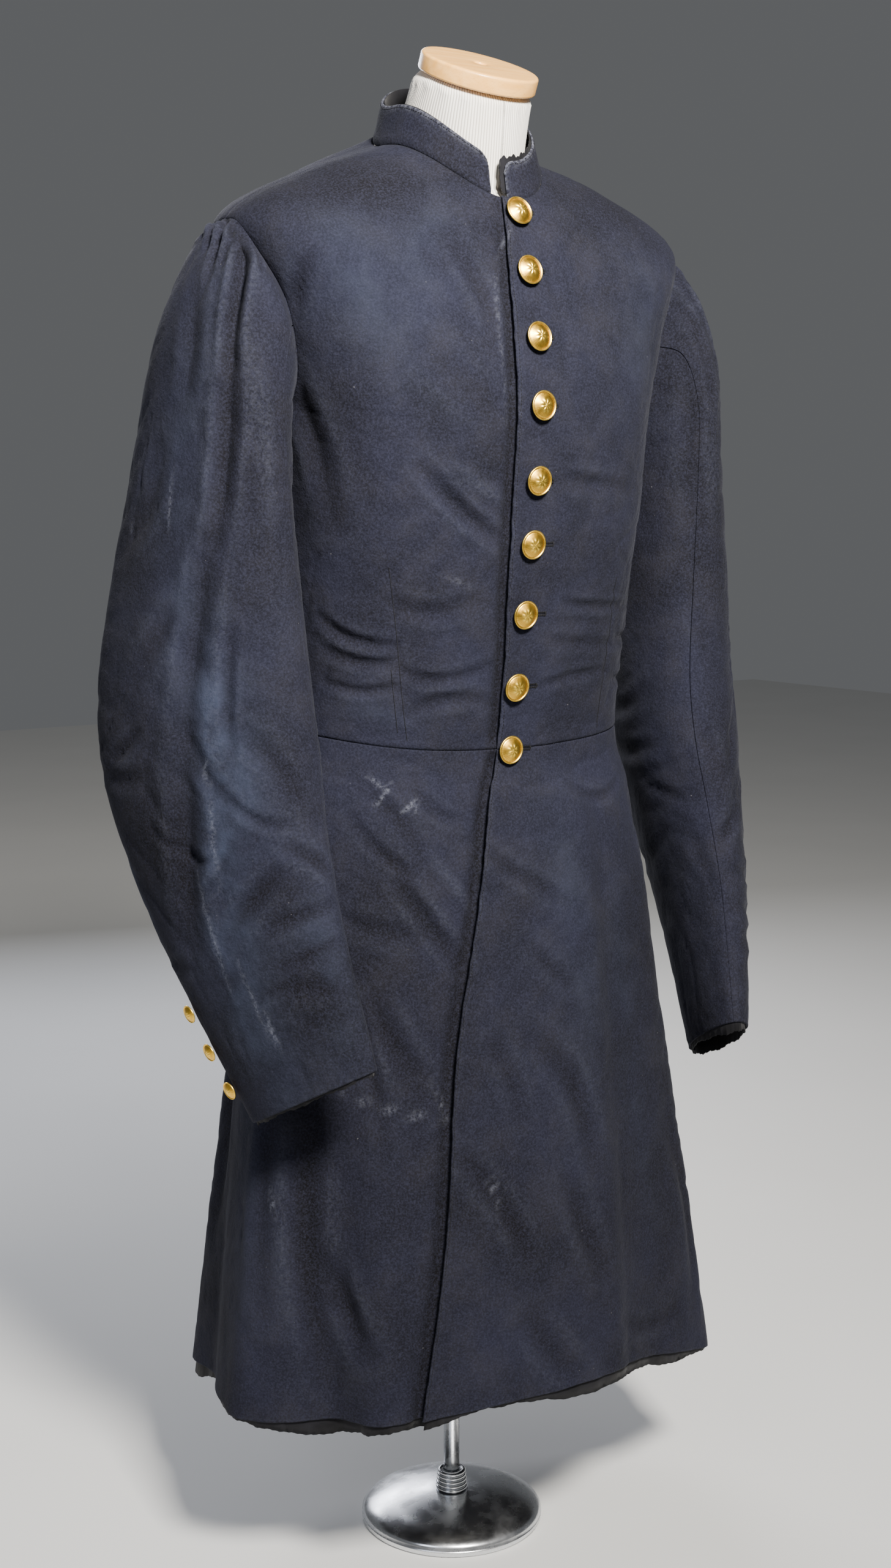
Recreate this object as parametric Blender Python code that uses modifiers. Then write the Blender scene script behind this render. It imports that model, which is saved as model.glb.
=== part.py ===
"""Frock coat on a limbless dress form, in metres, +Z up, the coat's front towards -Y, its left side at +X.

The coat is one smooth surface of rings, from hem to neck seam. Each panel is a stretch of that surface
between two seams, thickened inwards to cloth. A point of the surface is named by its turn (degrees from
the centre front, positive to the wearer's left, 180 at the centre back) and by its level (ring number).
"""
import bmesh
import bpy
import numpy as np
from mathutils import Vector

CLOTH = 0.0020
LINING = 0.0012
SEAM_GAP = 0.0003

HEM, WAIST, UNDERARM, SHOULDER, NECK = 0, 5, 8, 10, 12

RING_COLUMNS = ("z_front", "z_right", "z_left", "z_back",
                "width_right", "width_left", "front", "back", "square")
RINGS = np.array((
    (0.172, 0.160, 0.116, 0.128, 0.221, 0.250, 0.148, 0.184, 2.2),
    (0.310, 0.305, 0.280, 0.285, 0.206, 0.228, 0.134, 0.168, 2.2),
    (0.452, 0.452, 0.440, 0.440, 0.191, 0.204, 0.118, 0.148, 2.2),
    (0.570, 0.575, 0.570, 0.570, 0.180, 0.184, 0.102, 0.126, 2.3),
    (0.640, 0.650, 0.645, 0.645, 0.166, 0.168, 0.089, 0.106, 2.4),
    (0.688, 0.704, 0.696, 0.700, 0.155, 0.156, 0.081, 0.092, 2.4),
    (0.790, 0.795, 0.795, 0.800, 0.156, 0.158, 0.099, 0.100, 2.5),
    (0.880, 0.880, 0.880, 0.885, 0.161, 0.162, 0.114, 0.111, 2.6),
    (0.955, 0.952, 0.952, 0.965, 0.166, 0.167, 0.122, 0.119, 2.6),
    (1.010, 1.030, 1.030, 1.050, 0.186, 0.188, 0.116, 0.116, 2.5),
    (1.055, 1.097, 1.100, 1.116, 0.205, 0.209, 0.105, 0.104, 2.4),
    (1.091, 1.138, 1.141, 1.164, 0.135, 0.136, 0.095, 0.082, 2.2),
    (1.117, 1.164, 1.162, 1.190, 0.064, 0.064, 0.085, 0.062, 2.0),
))

# columns: turn, half_turn, depth, from_level
SKIRT_FOLDS = (
    (-56.0, 9.0, -0.016, 3.4),
    (-38.0, 8.0, 0.008, 3.0),
    (-82.0, 10.0, 0.012, 3.6),
    (-108.0, 9.0, -0.010, 3.8),
    (-128.0, 8.0, 0.012, 4.4),
    (-143.0, 5.5, -0.012, 4.6),
    (2.0, 9.0, 0.004, 4.0),
    (28.0, 9.0, -0.009, 3.2),
    (52.0, 9.0, 0.009, 3.6),
    (76.0, 9.0, -0.011, 3.8),
    (104.0, 10.0, 0.010, 4.0),
    (128.0, 8.0, 0.012, 4.4),
    (143.0, 5.5, -0.012, 4.6),
)

FOLD_GROWTH = 1.3
SIDE_TURN = 92.0
ARMHOLE_MIDDLE = (UNDERARM + SHOULDER) / 2
ARMHOLE_HALF = (SHOULDER - UNDERARM) / 2
ARMHOLE_ANGLES = np.arange(0.0, 181.0, 22.5)
FRONT_COLUMNS = 12
FRONT_CROWDING = 1.15
SIDE_COLUMNS = 8
BACK_COLUMNS = 8
SIDE_ROWS = 8
SHOULDER_ROWS = 6
ARMHOLE_FRONT = 19.0
ARMHOLE_BACK = 27.0
BACK_SEAM_WAIST = 158.0
BACK_SEAM_SKIRT = 157.0
BACK_SEAM_ON_ARMHOLE = 67.5
BACK_SEAM_BOW = 5.0
VENT_OPEN = 0.4
PLEAT_GAP = 0.0002
SKIRT_ROWS = 12
SKIRT_COLUMNS = 30
SKIRT_LINING_GAP = 0.0006
SKIRT_LINING_SAG = 0.007
# columns: height, waves round the coat, start of the wave in degrees
SKIRT_LINING_WAVES = ((0.004, 5.0, 0.0), (0.002, 11.0, 40.0))

# columns: level, x of the left front's edge, x of the right front's edge
FRONT_EDGES = np.array((
    (0.0, -0.120, 0.060),
    (1.0, -0.093, 0.052),
    (2.0, -0.075, 0.044),
    (3.0, -0.046, 0.036),
    (4.2, -0.026, 0.030),
    (5.0, -0.013, 0.026),
    (5.6, -0.014, 0.024),
    (6.2, -0.019, 0.024),
    (7.0, -0.023, 0.024),
    (9.0, -0.023, 0.024),
    (10.5, -0.018, 0.022),
    (12.0, -0.012, 0.012),
))
LAP_BODY = 0.0026
LAP_SKIRT = 0.0065
LAP_SKIRT_DROP = 1.2
LAP_END = 0.062
LAP_FADE = 0.030

# columns: x_in, z_in, x_out, z_out, y, broad, turn, tip
SLEEVE_RINGS = np.array((
    (0.170, 0.957, 0.227, 1.081, -0.004, 0.064, 2.0, 0.0),
    (0.1735, 0.946, 0.255, 1.012, -0.002, 0.074, 4.0, 0.0),
    (0.1775, 0.913, 0.265, 0.929, 0.002, 0.081, 8.0, 0.0),
    (0.179, 0.828, 0.277, 0.832, 0.004, 0.089, 15.0, 0.0),
    (0.186, 0.745, 0.282, 0.745, -0.001, 0.096, 23.0, 2.0),
    (0.189, 0.680, 0.281, 0.680, -0.013, 0.097, 25.0, 8.0),
    (0.193, 0.615, 0.270, 0.615, -0.036, 0.089, 25.0, 18.0),
    (0.193, 0.538, 0.252, 0.538, -0.070, 0.077, 25.0, 26.0),
    (0.185, 0.440, 0.223, 0.440, -0.111, 0.062, 25.0, 27.0),
))
LEFT_CUFF_DROP = 0.016
SLEEVE_BACK_SEAM = 8.0
TOP_SLEEVE_COLUMNS = 21
UNDER_SLEEVE_COLUMNS = 10
SLEEVE_ROWS = 11
SLEEVE_HEAD_ROWS = (0.0, 0.2, 0.45, 0.7)
SLEEVE_HEAD_GAP = 0.0005
SLEEVE_SEAM_GAP = 0.0003
CUFF_LINING_ROWS = 0.4
CUFF_LINING_GAP = 0.0012
CUFF_LINING_SAG = 0.0035
CUFF_LINING_SAG_LEFT = 0.0045
CUFF_LINING_SAG_ANGLE = 200.0
CUFF_LINING_SAG_HALF = 60.0
SLEEVE_FRONT_SEAM = 190.0
GATHER_DEPTH = 0.0022
GATHER_WAVES = 13.2
GATHER_ALONG = 0.45
GATHER_LENGTH = 0.4
GATHER_START = 0.12

COLLAR_HEIGHT = 0.030
COLLAR_LEAN = 0.0065
COLLAR_RIGHT_END = -0.019
COLLAR_LEFT_END = -0.006
COLLAR_CORNER = 0.010
COLLAR_GAP = 0.0007
COLLAR_COLUMNS = 45
COLLAR_LINING_GAP = 0.0009
COLLAR_LINING_FOOT = 0.004
COLLAR_LINING_SHOWS = 0.001
COLLAR_FRAY = 0.0022
COLLAR_FRAY_TURN = 70.0
COLLAR_FRAY_HALF = 45.0

BUTTON_WIDTH = 0.023
BUTTON_HEIGHT = 0.0075
BUTTON_LINE = -0.0035
BUTTON_LEVELS = (11.50, 10.12, 8.99, 8.05, 7.27, 6.68, 6.08, 5.53, 5.00)
WAIST_BUTTON_LIFT = 0.0002
CUFF_BUTTON_WIDTH = 0.0145
CUFF_BUTTON_HEIGHT = 0.0052
CUFF_BUTTON_RISE = (0.022, 0.056, 0.092)
CUFF_BUTTON_LIFT = 0.0006
CUFF_BUTTON_ANGLE = 22.0
LAST_SLEEVE_STEP = 0.108
FRONT_BUTTON_STEPS = 12
CUFF_BUTTON_STEPS = 9

FORM_TURNS = 11.25
# columns: level of the coat, how far the form lies inside its outer surface there
FORM_INSIDE = (
    (3.1, 0.016), (3.6, 0.012), (4.3, 0.009), (5.0, 0.008), (6.0, 0.008), (7.0, 0.008), (7.9, 0.009),
    (10.42, 0.0050), (10.7, 0.0036), (11.0, 0.0027), (11.45, 0.0027), (11.8, 0.0029),
)
NECK_RISES = (0.0, 0.35, 0.7, 1.0)
NECK_SLOPE = 24.0
NECK_TOP_HALF = (0.049, 0.046)
NECK_TOP_Y = -0.027
NECK_ROUND = 0.006
NECK_FOOT = 0.77
NECK_FOOT_DROP = 0.0004
FORM_BACK_HOLLOW = 0.0018
CAP_CENTRE = (0.000, -0.034, 1.2132)
CAP_WIDTH = 0.095
CAP_THICK = 0.014
CAP_HOLE = 0.005
CAP_HOLE_DEEP = 0.005
CAP_BEND = 0.36
CAP_STEPS = 28

POLE_WIDTH = 0.0140
POLE_COLLAR_WIDTH = 0.028
POLE_COLLAR_RINGS = 5
POLE_COLLAR_PITCH = 0.0036
BASE_WIDTH = 0.158
BASE_RIM = 0.0055
BASE_RISE = 0.024
BASE_FOOT = 0.0012
BASE_STEPS = 32
POLE_COLLAR_STEPS = 16
POLE_COLLAR_TAPER = 0.0004
POLE_COLLAR_GROOVE = 0.0018

MATERIALS = {
    "cloth": ((0.036, 0.042, 0.068), 0.92, 0.0),
    "lining": ((0.008, 0.008, 0.010), 0.75, 0.0),
    "gilt": ((0.72, 0.48, 0.17), 0.32, 1.0),
    "jersey": ((0.66, 0.62, 0.57), 0.95, 0.0),
    "wood": ((0.74, 0.43, 0.20), 0.35, 0.0),
    "chrome": ((0.82, 0.82, 0.84), 0.08, 1.0),
}


def smooth_between(knots, values, at):
    """Smooth curve through (knots, values), read at any array: cubic pieces with central slopes."""
    knots = np.asarray(knots, float)
    values = np.asarray(values, float)
    slopes = np.gradient(values, knots, axis=0)
    at = np.clip(at, knots[0], knots[-1])
    piece = np.clip(np.searchsorted(knots, at, side="right") - 1, 0, len(knots) - 2)
    step = knots[piece + 1] - knots[piece]
    part = (at - knots[piece]) / step
    tail = (1,) * (values.ndim - 1)
    part = part.reshape(part.shape + tail)
    step = step.reshape(step.shape + tail)
    below = (2 * part**3 - 3 * part**2 + 1) * values[piece]
    above = (3 * part**2 - 2 * part**3) * values[piece + 1]
    leaving = (part**3 - 2 * part**2 + part) * step * slopes[piece]
    arriving = (part**3 - part**2) * step * slopes[piece + 1]
    return below + above + leaving + arriving


def ring_values(level):
    """All columns of the ring table at a level, smooth between its rows."""
    values = smooth_between(np.arange(len(RINGS)), RINGS, level)
    return dict(zip(RING_COLUMNS, np.moveaxis(values, -1, 0)))


def skirt_fold(turn, level):
    """Outward push of the skirt's folds: soft bumps round the turn, growing from their level to the hem."""
    push = np.zeros(np.broadcast(turn, level).shape)
    for centre, half, depth, start in SKIRT_FOLDS:
        away = (turn - centre + 180.0) % 360.0 - 180.0
        growth = np.clip((start - level) / start, 0.0, 1.0) ** FOLD_GROWTH
        push = push + depth * growth * np.exp(-(away / half) ** 2)
    return push


def coat_point(turn, level, out=0.0):
    """Point of the coat's outer surface, moved out by a length square to it."""
    turn, level = np.broadcast_arrays(np.asarray(turn, float), np.asarray(level, float))

    def bare(turn, level):
        ring = ring_values(level)
        sine, cosine = np.sin(np.radians(turn)), np.cos(np.radians(turn))
        wide = np.where(sine > 0, ring["width_left"], ring["width_right"])
        deep = np.where(cosine > 0, ring["front"], ring["back"])
        power = 2.0 / ring["square"]
        x = wide * np.sign(sine) * np.abs(sine) ** power
        y = -deep * np.sign(cosine) * np.abs(cosine) ** power
        z_side = np.where(sine > 0, ring["z_left"], ring["z_right"])
        z_mid = np.where(cosine > 0, ring["z_front"], ring["z_back"])
        z = z_side * sine**2 + z_mid * cosine**2
        reach = 1.0 + skirt_fold(turn, level) / np.hypot(x, y)
        return np.stack((x * reach, y * reach, z), axis=-1)

    point = bare(turn, level)
    around = bare(turn + 0.4, level) - bare(turn - 0.4, level)
    up = bare(turn, np.clip(level + 0.02, 0, NECK)) - bare(turn, np.clip(level - 0.02, 0, NECK))
    normal = np.cross(around, up)
    normal /= np.linalg.norm(normal, axis=-1, keepdims=True)
    return point + normal * np.asarray(out)[..., None]


def turn_at(level, x):
    """Turn at which the front of the ring at this level has the given x."""
    ring = ring_values(level)
    wide = np.where(x > 0, ring["width_left"], ring["width_right"])
    power = ring["square"] / 2.0
    return np.degrees(np.arcsin(np.sign(x) * (np.abs(x) / wide) ** power))


def front_edge(level, side):
    """Turn of a front edge: the left one laps over, the right one lies under it."""
    column = 1 if side > 0 else 2
    return turn_at(level, smooth_between(FRONT_EDGES[:, 0], FRONT_EDGES[:, column], level))


def armhole(angle):
    """Turn (from the side, positive to the back) and level of the armhole: 0 low, 90 back, 180 top, 270 front."""
    sine = np.sin(np.radians(angle))
    spread = np.where(sine > 0, ARMHOLE_BACK, ARMHOLE_FRONT) * sine
    return spread, ARMHOLE_MIDDLE - ARMHOLE_HALF * np.cos(np.radians(angle))


def armhole_reach(level, spread):
    """How far the armhole spreads in turn from the side line at a level, nothing outside it."""
    height = (level - ARMHOLE_MIDDLE) / ARMHOLE_HALF
    return spread * np.sqrt(np.clip(1.0 - height**2, 0.0, 1.0))


def back_outer_turn(level):
    """Outer edge of the back: skirt pleat, side back seam, armhole, then shoulder seam."""
    spread, top = armhole(BACK_SEAM_ON_ARMHOLE)
    rise = np.clip((level - WAIST) / (top - WAIST), 0.0, 1.0)
    lean = (SIDE_TURN + spread - BACK_SEAM_WAIST) * rise
    seam = BACK_SEAM_WAIST + lean + BACK_SEAM_BOW * np.sin(np.pi * rise)
    skirt = BACK_SEAM_WAIST + (BACK_SEAM_SKIRT - BACK_SEAM_WAIST) * np.clip(WAIST - level, 0.0, 1.0)
    shoulder = SIDE_TURN + armhole_reach(level, ARMHOLE_BACK)
    return np.where(level < WAIST, skirt, np.where(level < top, seam, shoulder))


def panel_levels():
    """Levels of a body panel's rows, closer together round the armhole."""
    low = np.linspace(WAIST, UNDERARM, SIDE_ROWS)[:-1]
    return np.concatenate((low, armhole(ARMHOLE_ANGLES)[1], shoulder_levels()))


def shoulder_levels():
    """Levels of the rows above the armhole."""
    return np.linspace(SHOULDER, NECK, SHOULDER_ROWS)[1:]


def lap_lift(x, level):
    """How far a left panel lies above the right one under it, gone past the lap."""
    skirt = np.clip((WAIST - level) / LAP_SKIRT_DROP, 0.0, 1.0)
    lift = LAP_BODY + (LAP_SKIRT - LAP_BODY) * skirt
    fade = np.clip((LAP_END + LAP_FADE * skirt - x) / LAP_FADE, 0.0, 1.0)
    return lift * fade * fade * (3 - 2 * fade)


def inset(points, low=0.0, high=0.0, first=0.0, last=0.0, thick=CLOTH):
    """Draw a grid's edges in by half the seam gap, and a little more where the surface bends there.

    Each edge may be given a further length; None leaves it where it is.
    """
    points = points.copy()

    def pull(edge, inner, next_in, more):
        if more is None:
            return edge
        step, beyond = inner - edge, next_in - inner
        length = np.linalg.norm(step, axis=-1, keepdims=True)
        bend = np.linalg.norm(np.cross(step, beyond), axis=-1, keepdims=True)
        bend = bend / (length * np.linalg.norm(beyond, axis=-1, keepdims=True))
        return edge + step / length * (SEAM_GAP / 2 + more + thick * bend / 2)

    points[0] = pull(points[0], points[1], points[2 % len(points)], low)
    points[-1] = pull(points[-1], points[-2], points[-3 % len(points)], high)
    points[:, 0] = pull(points[:, 0], points[:, 1], points[:, 2], first)
    points[:, -1] = pull(points[:, -1], points[:, -2], points[:, -3], last)
    return points


def collection(name):
    """New collection under the scene."""
    group = bpy.data.collections.new(name)
    bpy.context.scene.collection.children.link(group)
    return group


def material(name):
    """Principled material from the table of finishes."""
    found = bpy.data.materials.get(name)
    if found:
        return found
    colour, roughness, metallic = MATERIALS[name]
    made = bpy.data.materials.new(name)
    made.use_nodes = True
    shader = made.node_tree.nodes["Principled BSDF"]
    shader.inputs["Base Color"].default_value = (*colour, 1.0)
    shader.inputs["Roughness"].default_value = roughness
    shader.inputs["Metallic"].default_value = metallic
    made.diffuse_color = (*colour, 1.0)
    return made


def finish_object(name, mesh, finish, group):
    """Put a mesh in the scene as a named, smooth-shaded sub-part."""
    part = bpy.data.objects.new(name, mesh)
    part.data.materials.append(material(finish))
    group.objects.link(part)
    mesh.polygons.foreach_set("use_smooth", [True] * len(mesh.polygons))
    return part


def grid_mesh(name, points, closed=False):
    """Mesh of quads over a grid of points (rows, columns), wound so that its faces look out."""
    rows, columns = points.shape[:2]
    index = np.arange(rows * columns).reshape(rows, columns)
    if closed:
        index = np.concatenate((index, index[:, :1]), axis=1)
    corners = (index[:-1, :-1], index[:-1, 1:], index[1:, 1:], index[1:, :-1])
    quads = np.stack(corners, axis=-1).reshape(-1, 4)
    mesh = bpy.data.meshes.new(name)
    mesh.from_pydata(points.reshape(-1, 3).tolist(), [], quads.tolist())
    mesh.update()
    return mesh


def cloth_panel(name, points, group, finish="cloth", thick=CLOTH, closed=False):
    """Open surface thickened inwards: the grid is the cloth's outer side."""
    part = finish_object(name, grid_mesh(name, points, closed), finish, group)
    wall = part.modifiers.new("cloth wall", "SOLIDIFY")
    wall.thickness = thick
    wall.offset = -1.0
    return part


def turned(name, profile, finish, group, steps):
    """Solid of revolution: profile of (radius, height), down its outer side, on the Z axis."""
    mesh = bpy.data.meshes.new(name)
    edges = [(i, i + 1) for i in range(len(profile) - 1)]
    mesh.from_pydata([(radius, 0.0, height) for radius, height in profile], edges, [])
    part = finish_object(name, mesh, finish, group)
    screw = part.modifiers.new("turn", "SCREW")
    screw.steps = steps
    screw.render_steps = steps
    screw.use_merge_vertices = True
    screw.merge_threshold = 0.00001
    return part


def mirrored_if_right(points, side):
    """A left-hand grid as it is, or its mirror image with the columns turned round so that faces look out."""
    if side > 0:
        return points
    flipped = points[:, ::-1].copy()
    flipped[..., 0] *= -1
    return flipped


def front_panel(side, group):
    """Front: from its edge to the side seam, armhole and shoulder seam."""
    level = panel_levels()[:, None]
    outer = SIDE_TURN - armhole_reach(level, ARMHOLE_FRONT)
    across = np.linspace(0, 1, FRONT_COLUMNS)[None, :] ** FRONT_CROWDING
    edge = front_edge(level, side) * side
    turn = side * (edge + (outer - edge) * across)
    points = coat_point(turn, level)
    if side > 0:
        points = coat_point(turn, level, lap_lift(points[..., 0], level))
        cloth_panel("front_left", inset(points, first=None), group)
    else:
        cloth_panel("front_right", inset(points[:, ::-1], last=None), group)


def side_panel(side, group):
    """Side body: from the side seam to the side back seam, its top on the low back of the armhole."""
    across = np.linspace(0, 1, SIDE_COLUMNS)[None, :]
    up = np.linspace(0, 1, SIDE_ROWS)[:, None]
    spread, top = armhole(BACK_SEAM_ON_ARMHOLE * across)
    foot = SIDE_TURN + (BACK_SEAM_WAIST - SIDE_TURN) * across
    level = WAIST + (top - WAIST) * up
    turn = foot + (SIDE_TURN + spread - foot) * up + BACK_SEAM_BOW * np.sin(np.pi * up) * across
    seam = back_outer_turn(level[:, -1])
    turn = turn + (seam - turn[:, -1])[:, None] * across
    turn, level = side * turn, np.broadcast_to(level, turn.shape)
    points = coat_point(turn, level)
    if side < 0:
        points = points[:, ::-1]
    cloth_panel("side_left" if side > 0 else "side_right", inset(points), group)


def back_panel(side, group):
    """Back, cut in one from neck to hem: from the side back seam to the centre back, open below the waist."""
    skirt = np.linspace(HEM, WAIST, SKIRT_ROWS)[:-1]
    seam = np.linspace(WAIST, armhole(BACK_SEAM_ON_ARMHOLE)[1], SIDE_ROWS)[:-1]
    hole = armhole(ARMHOLE_ANGLES[ARMHOLE_ANGLES >= BACK_SEAM_ON_ARMHOLE])[1]
    level = np.concatenate((skirt, seam, hole, shoulder_levels()))[:, None]
    outer = back_outer_turn(level)
    centre = 180.0 - VENT_OPEN * np.clip((WAIST - level) / WAIST, 0.0, 1.0)
    across = np.linspace(0, 1, BACK_COLUMNS)[None, :]
    turn = side * (outer + (centre - outer) * across)
    points = coat_point(turn, level)
    if side < 0:
        points = points[:, ::-1]
    at_pleat = (PLEAT_GAP, 0.0) if side > 0 else (0.0, PLEAT_GAP)
    points = inset(points, first=at_pleat[0], last=at_pleat[1])
    cloth_panel("back_left" if side > 0 else "back_right", points, group)


def skirt_grid(side, rows, low, high):
    """Grid of a front skirt from its edge round to the back pleat."""
    level = np.linspace(low, high, rows)[:, None]
    across = np.linspace(0, 1, SKIRT_COLUMNS)[None, :]
    edge = front_edge(level, side) * side
    outer = back_outer_turn(level - 0.001)
    turn = side * (edge + (outer - edge) * across)
    out = np.zeros(turn.shape)
    if side > 0:
        out = lap_lift(coat_point(turn, level)[..., 0], level)
    return turn, np.broadcast_to(level, turn.shape), out


def skirt_panel(side, group):
    """Front skirt, seamed to the body at the waist."""
    turn, level, out = skirt_grid(side, SKIRT_ROWS, HEM, WAIST)
    points = coat_point(turn, level, out)
    if side < 0:
        points = points[:, ::-1]
    at_pleat = (0.0, PLEAT_GAP) if side > 0 else (PLEAT_GAP, 0.0)
    points = inset(points, first=at_pleat[0], last=at_pleat[1])
    cloth_panel("skirt_left" if side > 0 else "skirt_right", points, group)


def skirt_lining(side, group):
    """Strip of skirt lining that hangs a little below the hem, uneven along its edge."""
    turn, level, out = skirt_grid(side, 2, HEM, (WAIST - HEM) / (SKIRT_ROWS - 1))
    points = coat_point(turn, level, out - CLOTH - SKIRT_LINING_GAP)
    sag = SKIRT_LINING_SAG
    for height, waves, start in SKIRT_LINING_WAVES:
        sag = sag + height * np.sin(np.radians(turn[0] * waves + start))
    points[0, :, 2] -= sag
    if side < 0:
        points = points[:, ::-1]
    name = "skirt_lining_left" if side > 0 else "skirt_lining_right"
    cloth_panel(name, inset(points, low=None, high=None), group, "lining", LINING)


def collar_grid(out, low, high, rows, columns, spare=0.0):
    """Grid of the standing collar: heights low to high up it, ends rounded off at the top."""
    ring_low = turn_at(np.array(float(NECK)), np.array(COLLAR_LEFT_END + spare))
    ring_high = 360.0 + turn_at(np.array(float(NECK)), np.array(COLLAR_RIGHT_END - spare))
    across = np.linspace(0, 1, columns)
    turn = ring_low + (ring_high - ring_low) * across
    foot = coat_point(turn, NECK)
    middle = np.array((0.0, (foot[:, 1].max() + foot[:, 1].min()) / 2, 0.0))
    inward = middle - foot
    inward[:, 2] = 0.0
    inward /= np.linalg.norm(inward, axis=1, keepdims=True)
    run = np.concatenate(([0.0], np.cumsum(np.linalg.norm(np.diff(foot, axis=0), axis=1))))
    end = np.minimum(run, run[-1] - run)
    short = np.clip(1.0 - end / COLLAR_CORNER, 0.0, 1.0)
    corner = COLLAR_CORNER * (1.0 - np.sqrt(1.0 - short**2))
    rise = np.linspace(0, 1, rows)[:, None] * (high - low - corner)[None, :] + low
    lean = COLLAR_LEAN * rise / COLLAR_HEIGHT
    points = foot[None] + inward[None] * (lean - out)[..., None]
    points[..., 2] += rise
    return points


def collar_pieces(group):
    """Standing collar and the lining inside it, which shows above its edge on the left."""
    outside = collar_grid(0.0, COLLAR_GAP, COLLAR_HEIGHT, 3, COLLAR_COLUMNS)
    cloth_panel("collar", outside, group)
    inside = collar_grid(-CLOTH - COLLAR_LINING_GAP, COLLAR_LINING_FOOT,
                         COLLAR_HEIGHT + COLLAR_LINING_SHOWS, 2, COLLAR_COLUMNS, spare=COLLAR_LINING_SHOWS)
    turn = np.linspace(0, 360, COLLAR_COLUMNS)
    inside[-1, :, 2] += COLLAR_FRAY * np.exp(-((turn - COLLAR_FRAY_TURN) / COLLAR_FRAY_HALF) ** 2)
    cloth_panel("collar_lining", inside, group, "lining", LINING)


def armhole_seam(angle):
    """Points on the straight runs between the armhole's corners, as the panels round it have them."""
    corners = np.concatenate((ARMHOLE_ANGLES, 360.0 - ARMHOLE_ANGLES[-2::-1]))
    spread, level = armhole(corners)
    points = coat_point(SIDE_TURN + spread, level, -SEAM_GAP)
    return np.stack([np.interp(angle % 360.0, corners, points[:, axis]) for axis in range(3)], axis=-1)


def sleeve_sections(angle):
    """Start on the armhole and one section for each row of the sleeve table, at these angles."""
    start = armhole_seam(angle + 90.0)
    centre = armhole_seam(np.arange(0.0, 360.0, 15.0)).mean(axis=0)
    inward = centre - start
    start = start + inward / np.linalg.norm(inward, axis=-1, keepdims=True) * SLEEVE_HEAD_GAP
    cosine, sine = np.cos(np.radians(angle)), np.sin(np.radians(angle))
    sections = [start]
    for x_in, z_in, x_out, z_out, y, broad, turn, tip in SLEEVE_RINGS:
        turn, tip = np.radians((turn, tip))
        middle = np.array(((x_in + x_out) / 2, y, (z_in + z_out) / 2))
        back_way = broad * np.array((np.sin(turn) * np.cos(tip), np.cos(turn) * np.cos(tip), -np.sin(tip)))
        half = (x_out - x_in) / 2
        out_way = np.array((half, -half * np.tan(turn), (z_out - z_in) / 2))
        sections.append(middle + np.outer(cosine, back_way) + np.outer(sine, out_way))
    return np.array(sections)


def sleeve_point(angle, along, drop, out=0.0):
    """Point of the left sleeve: angle 0 back, 90 outer, 180 front, 270 inner; along 0 armhole to 9 cuff edge."""
    angle, along = np.broadcast_arrays(np.asarray(angle, float), np.asarray(along, float))

    def bare(angle, along):
        flat = angle.ravel()
        sections = sleeve_sections(flat)
        whole = smooth_between(np.arange(len(sections)), sections, along.ravel())
        points = whole[np.arange(flat.size), np.arange(flat.size)].reshape(angle.shape + (3,))
        top = np.clip(np.sin(np.radians(angle)), 0.0, 1.0) ** 0.7
        puff = GATHER_DEPTH * np.cos(np.radians((angle - 90.0) * GATHER_WAVES)) * top
        puff = puff * np.exp(-((along - GATHER_ALONG) / GATHER_LENGTH) ** 2)
        puff = puff * np.clip(along / GATHER_START, 0.0, 1.0) * np.sqrt(0.5)
        points[..., 0] += puff
        points[..., 2] += puff - drop * along / len(SLEEVE_RINGS)
        return points

    last = float(len(SLEEVE_RINGS))
    around = bare(angle + 1.0, along) - bare(angle - 1.0, along)
    down = bare(angle, np.clip(along + 0.02, 0, last)) - bare(angle, np.clip(along - 0.02, 0, last))
    normal = np.cross(around, down)
    normal /= np.linalg.norm(normal, axis=-1, keepdims=True)
    return bare(angle, along) + normal * np.asarray(out)[..., None]


def cuff_drop(side):
    """How much lower this side's cuff hangs than the table says."""
    return LEFT_CUFF_DROP if side > 0 else 0.0


def sleeve_angles():
    """Columns of the top and under sleeve, from seam to seam."""
    top = np.linspace(SLEEVE_FRONT_SEAM, SLEEVE_BACK_SEAM, TOP_SLEEVE_COLUMNS)
    under = np.linspace(SLEEVE_BACK_SEAM + 360.0, SLEEVE_FRONT_SEAM, UNDER_SLEEVE_COLUMNS)
    return top, under


def sleeve_panels(side, group):
    """Top and under sleeve, seamed at the back and at the front of the arm."""
    hand = "left" if side > 0 else "right"
    along = np.concatenate((SLEEVE_HEAD_ROWS, np.linspace(1.0, len(SLEEVE_RINGS), SLEEVE_ROWS)))[:, None]
    for name, angle in zip(("top_sleeve_", "under_sleeve_"), sleeve_angles()):
        points = sleeve_point(angle, along, cuff_drop(side))[::-1]
        points = inset(points, None, None, SLEEVE_SEAM_GAP, SLEEVE_SEAM_GAP)
        cloth_panel(name + hand, mirrored_if_right(points, side), group)


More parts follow.
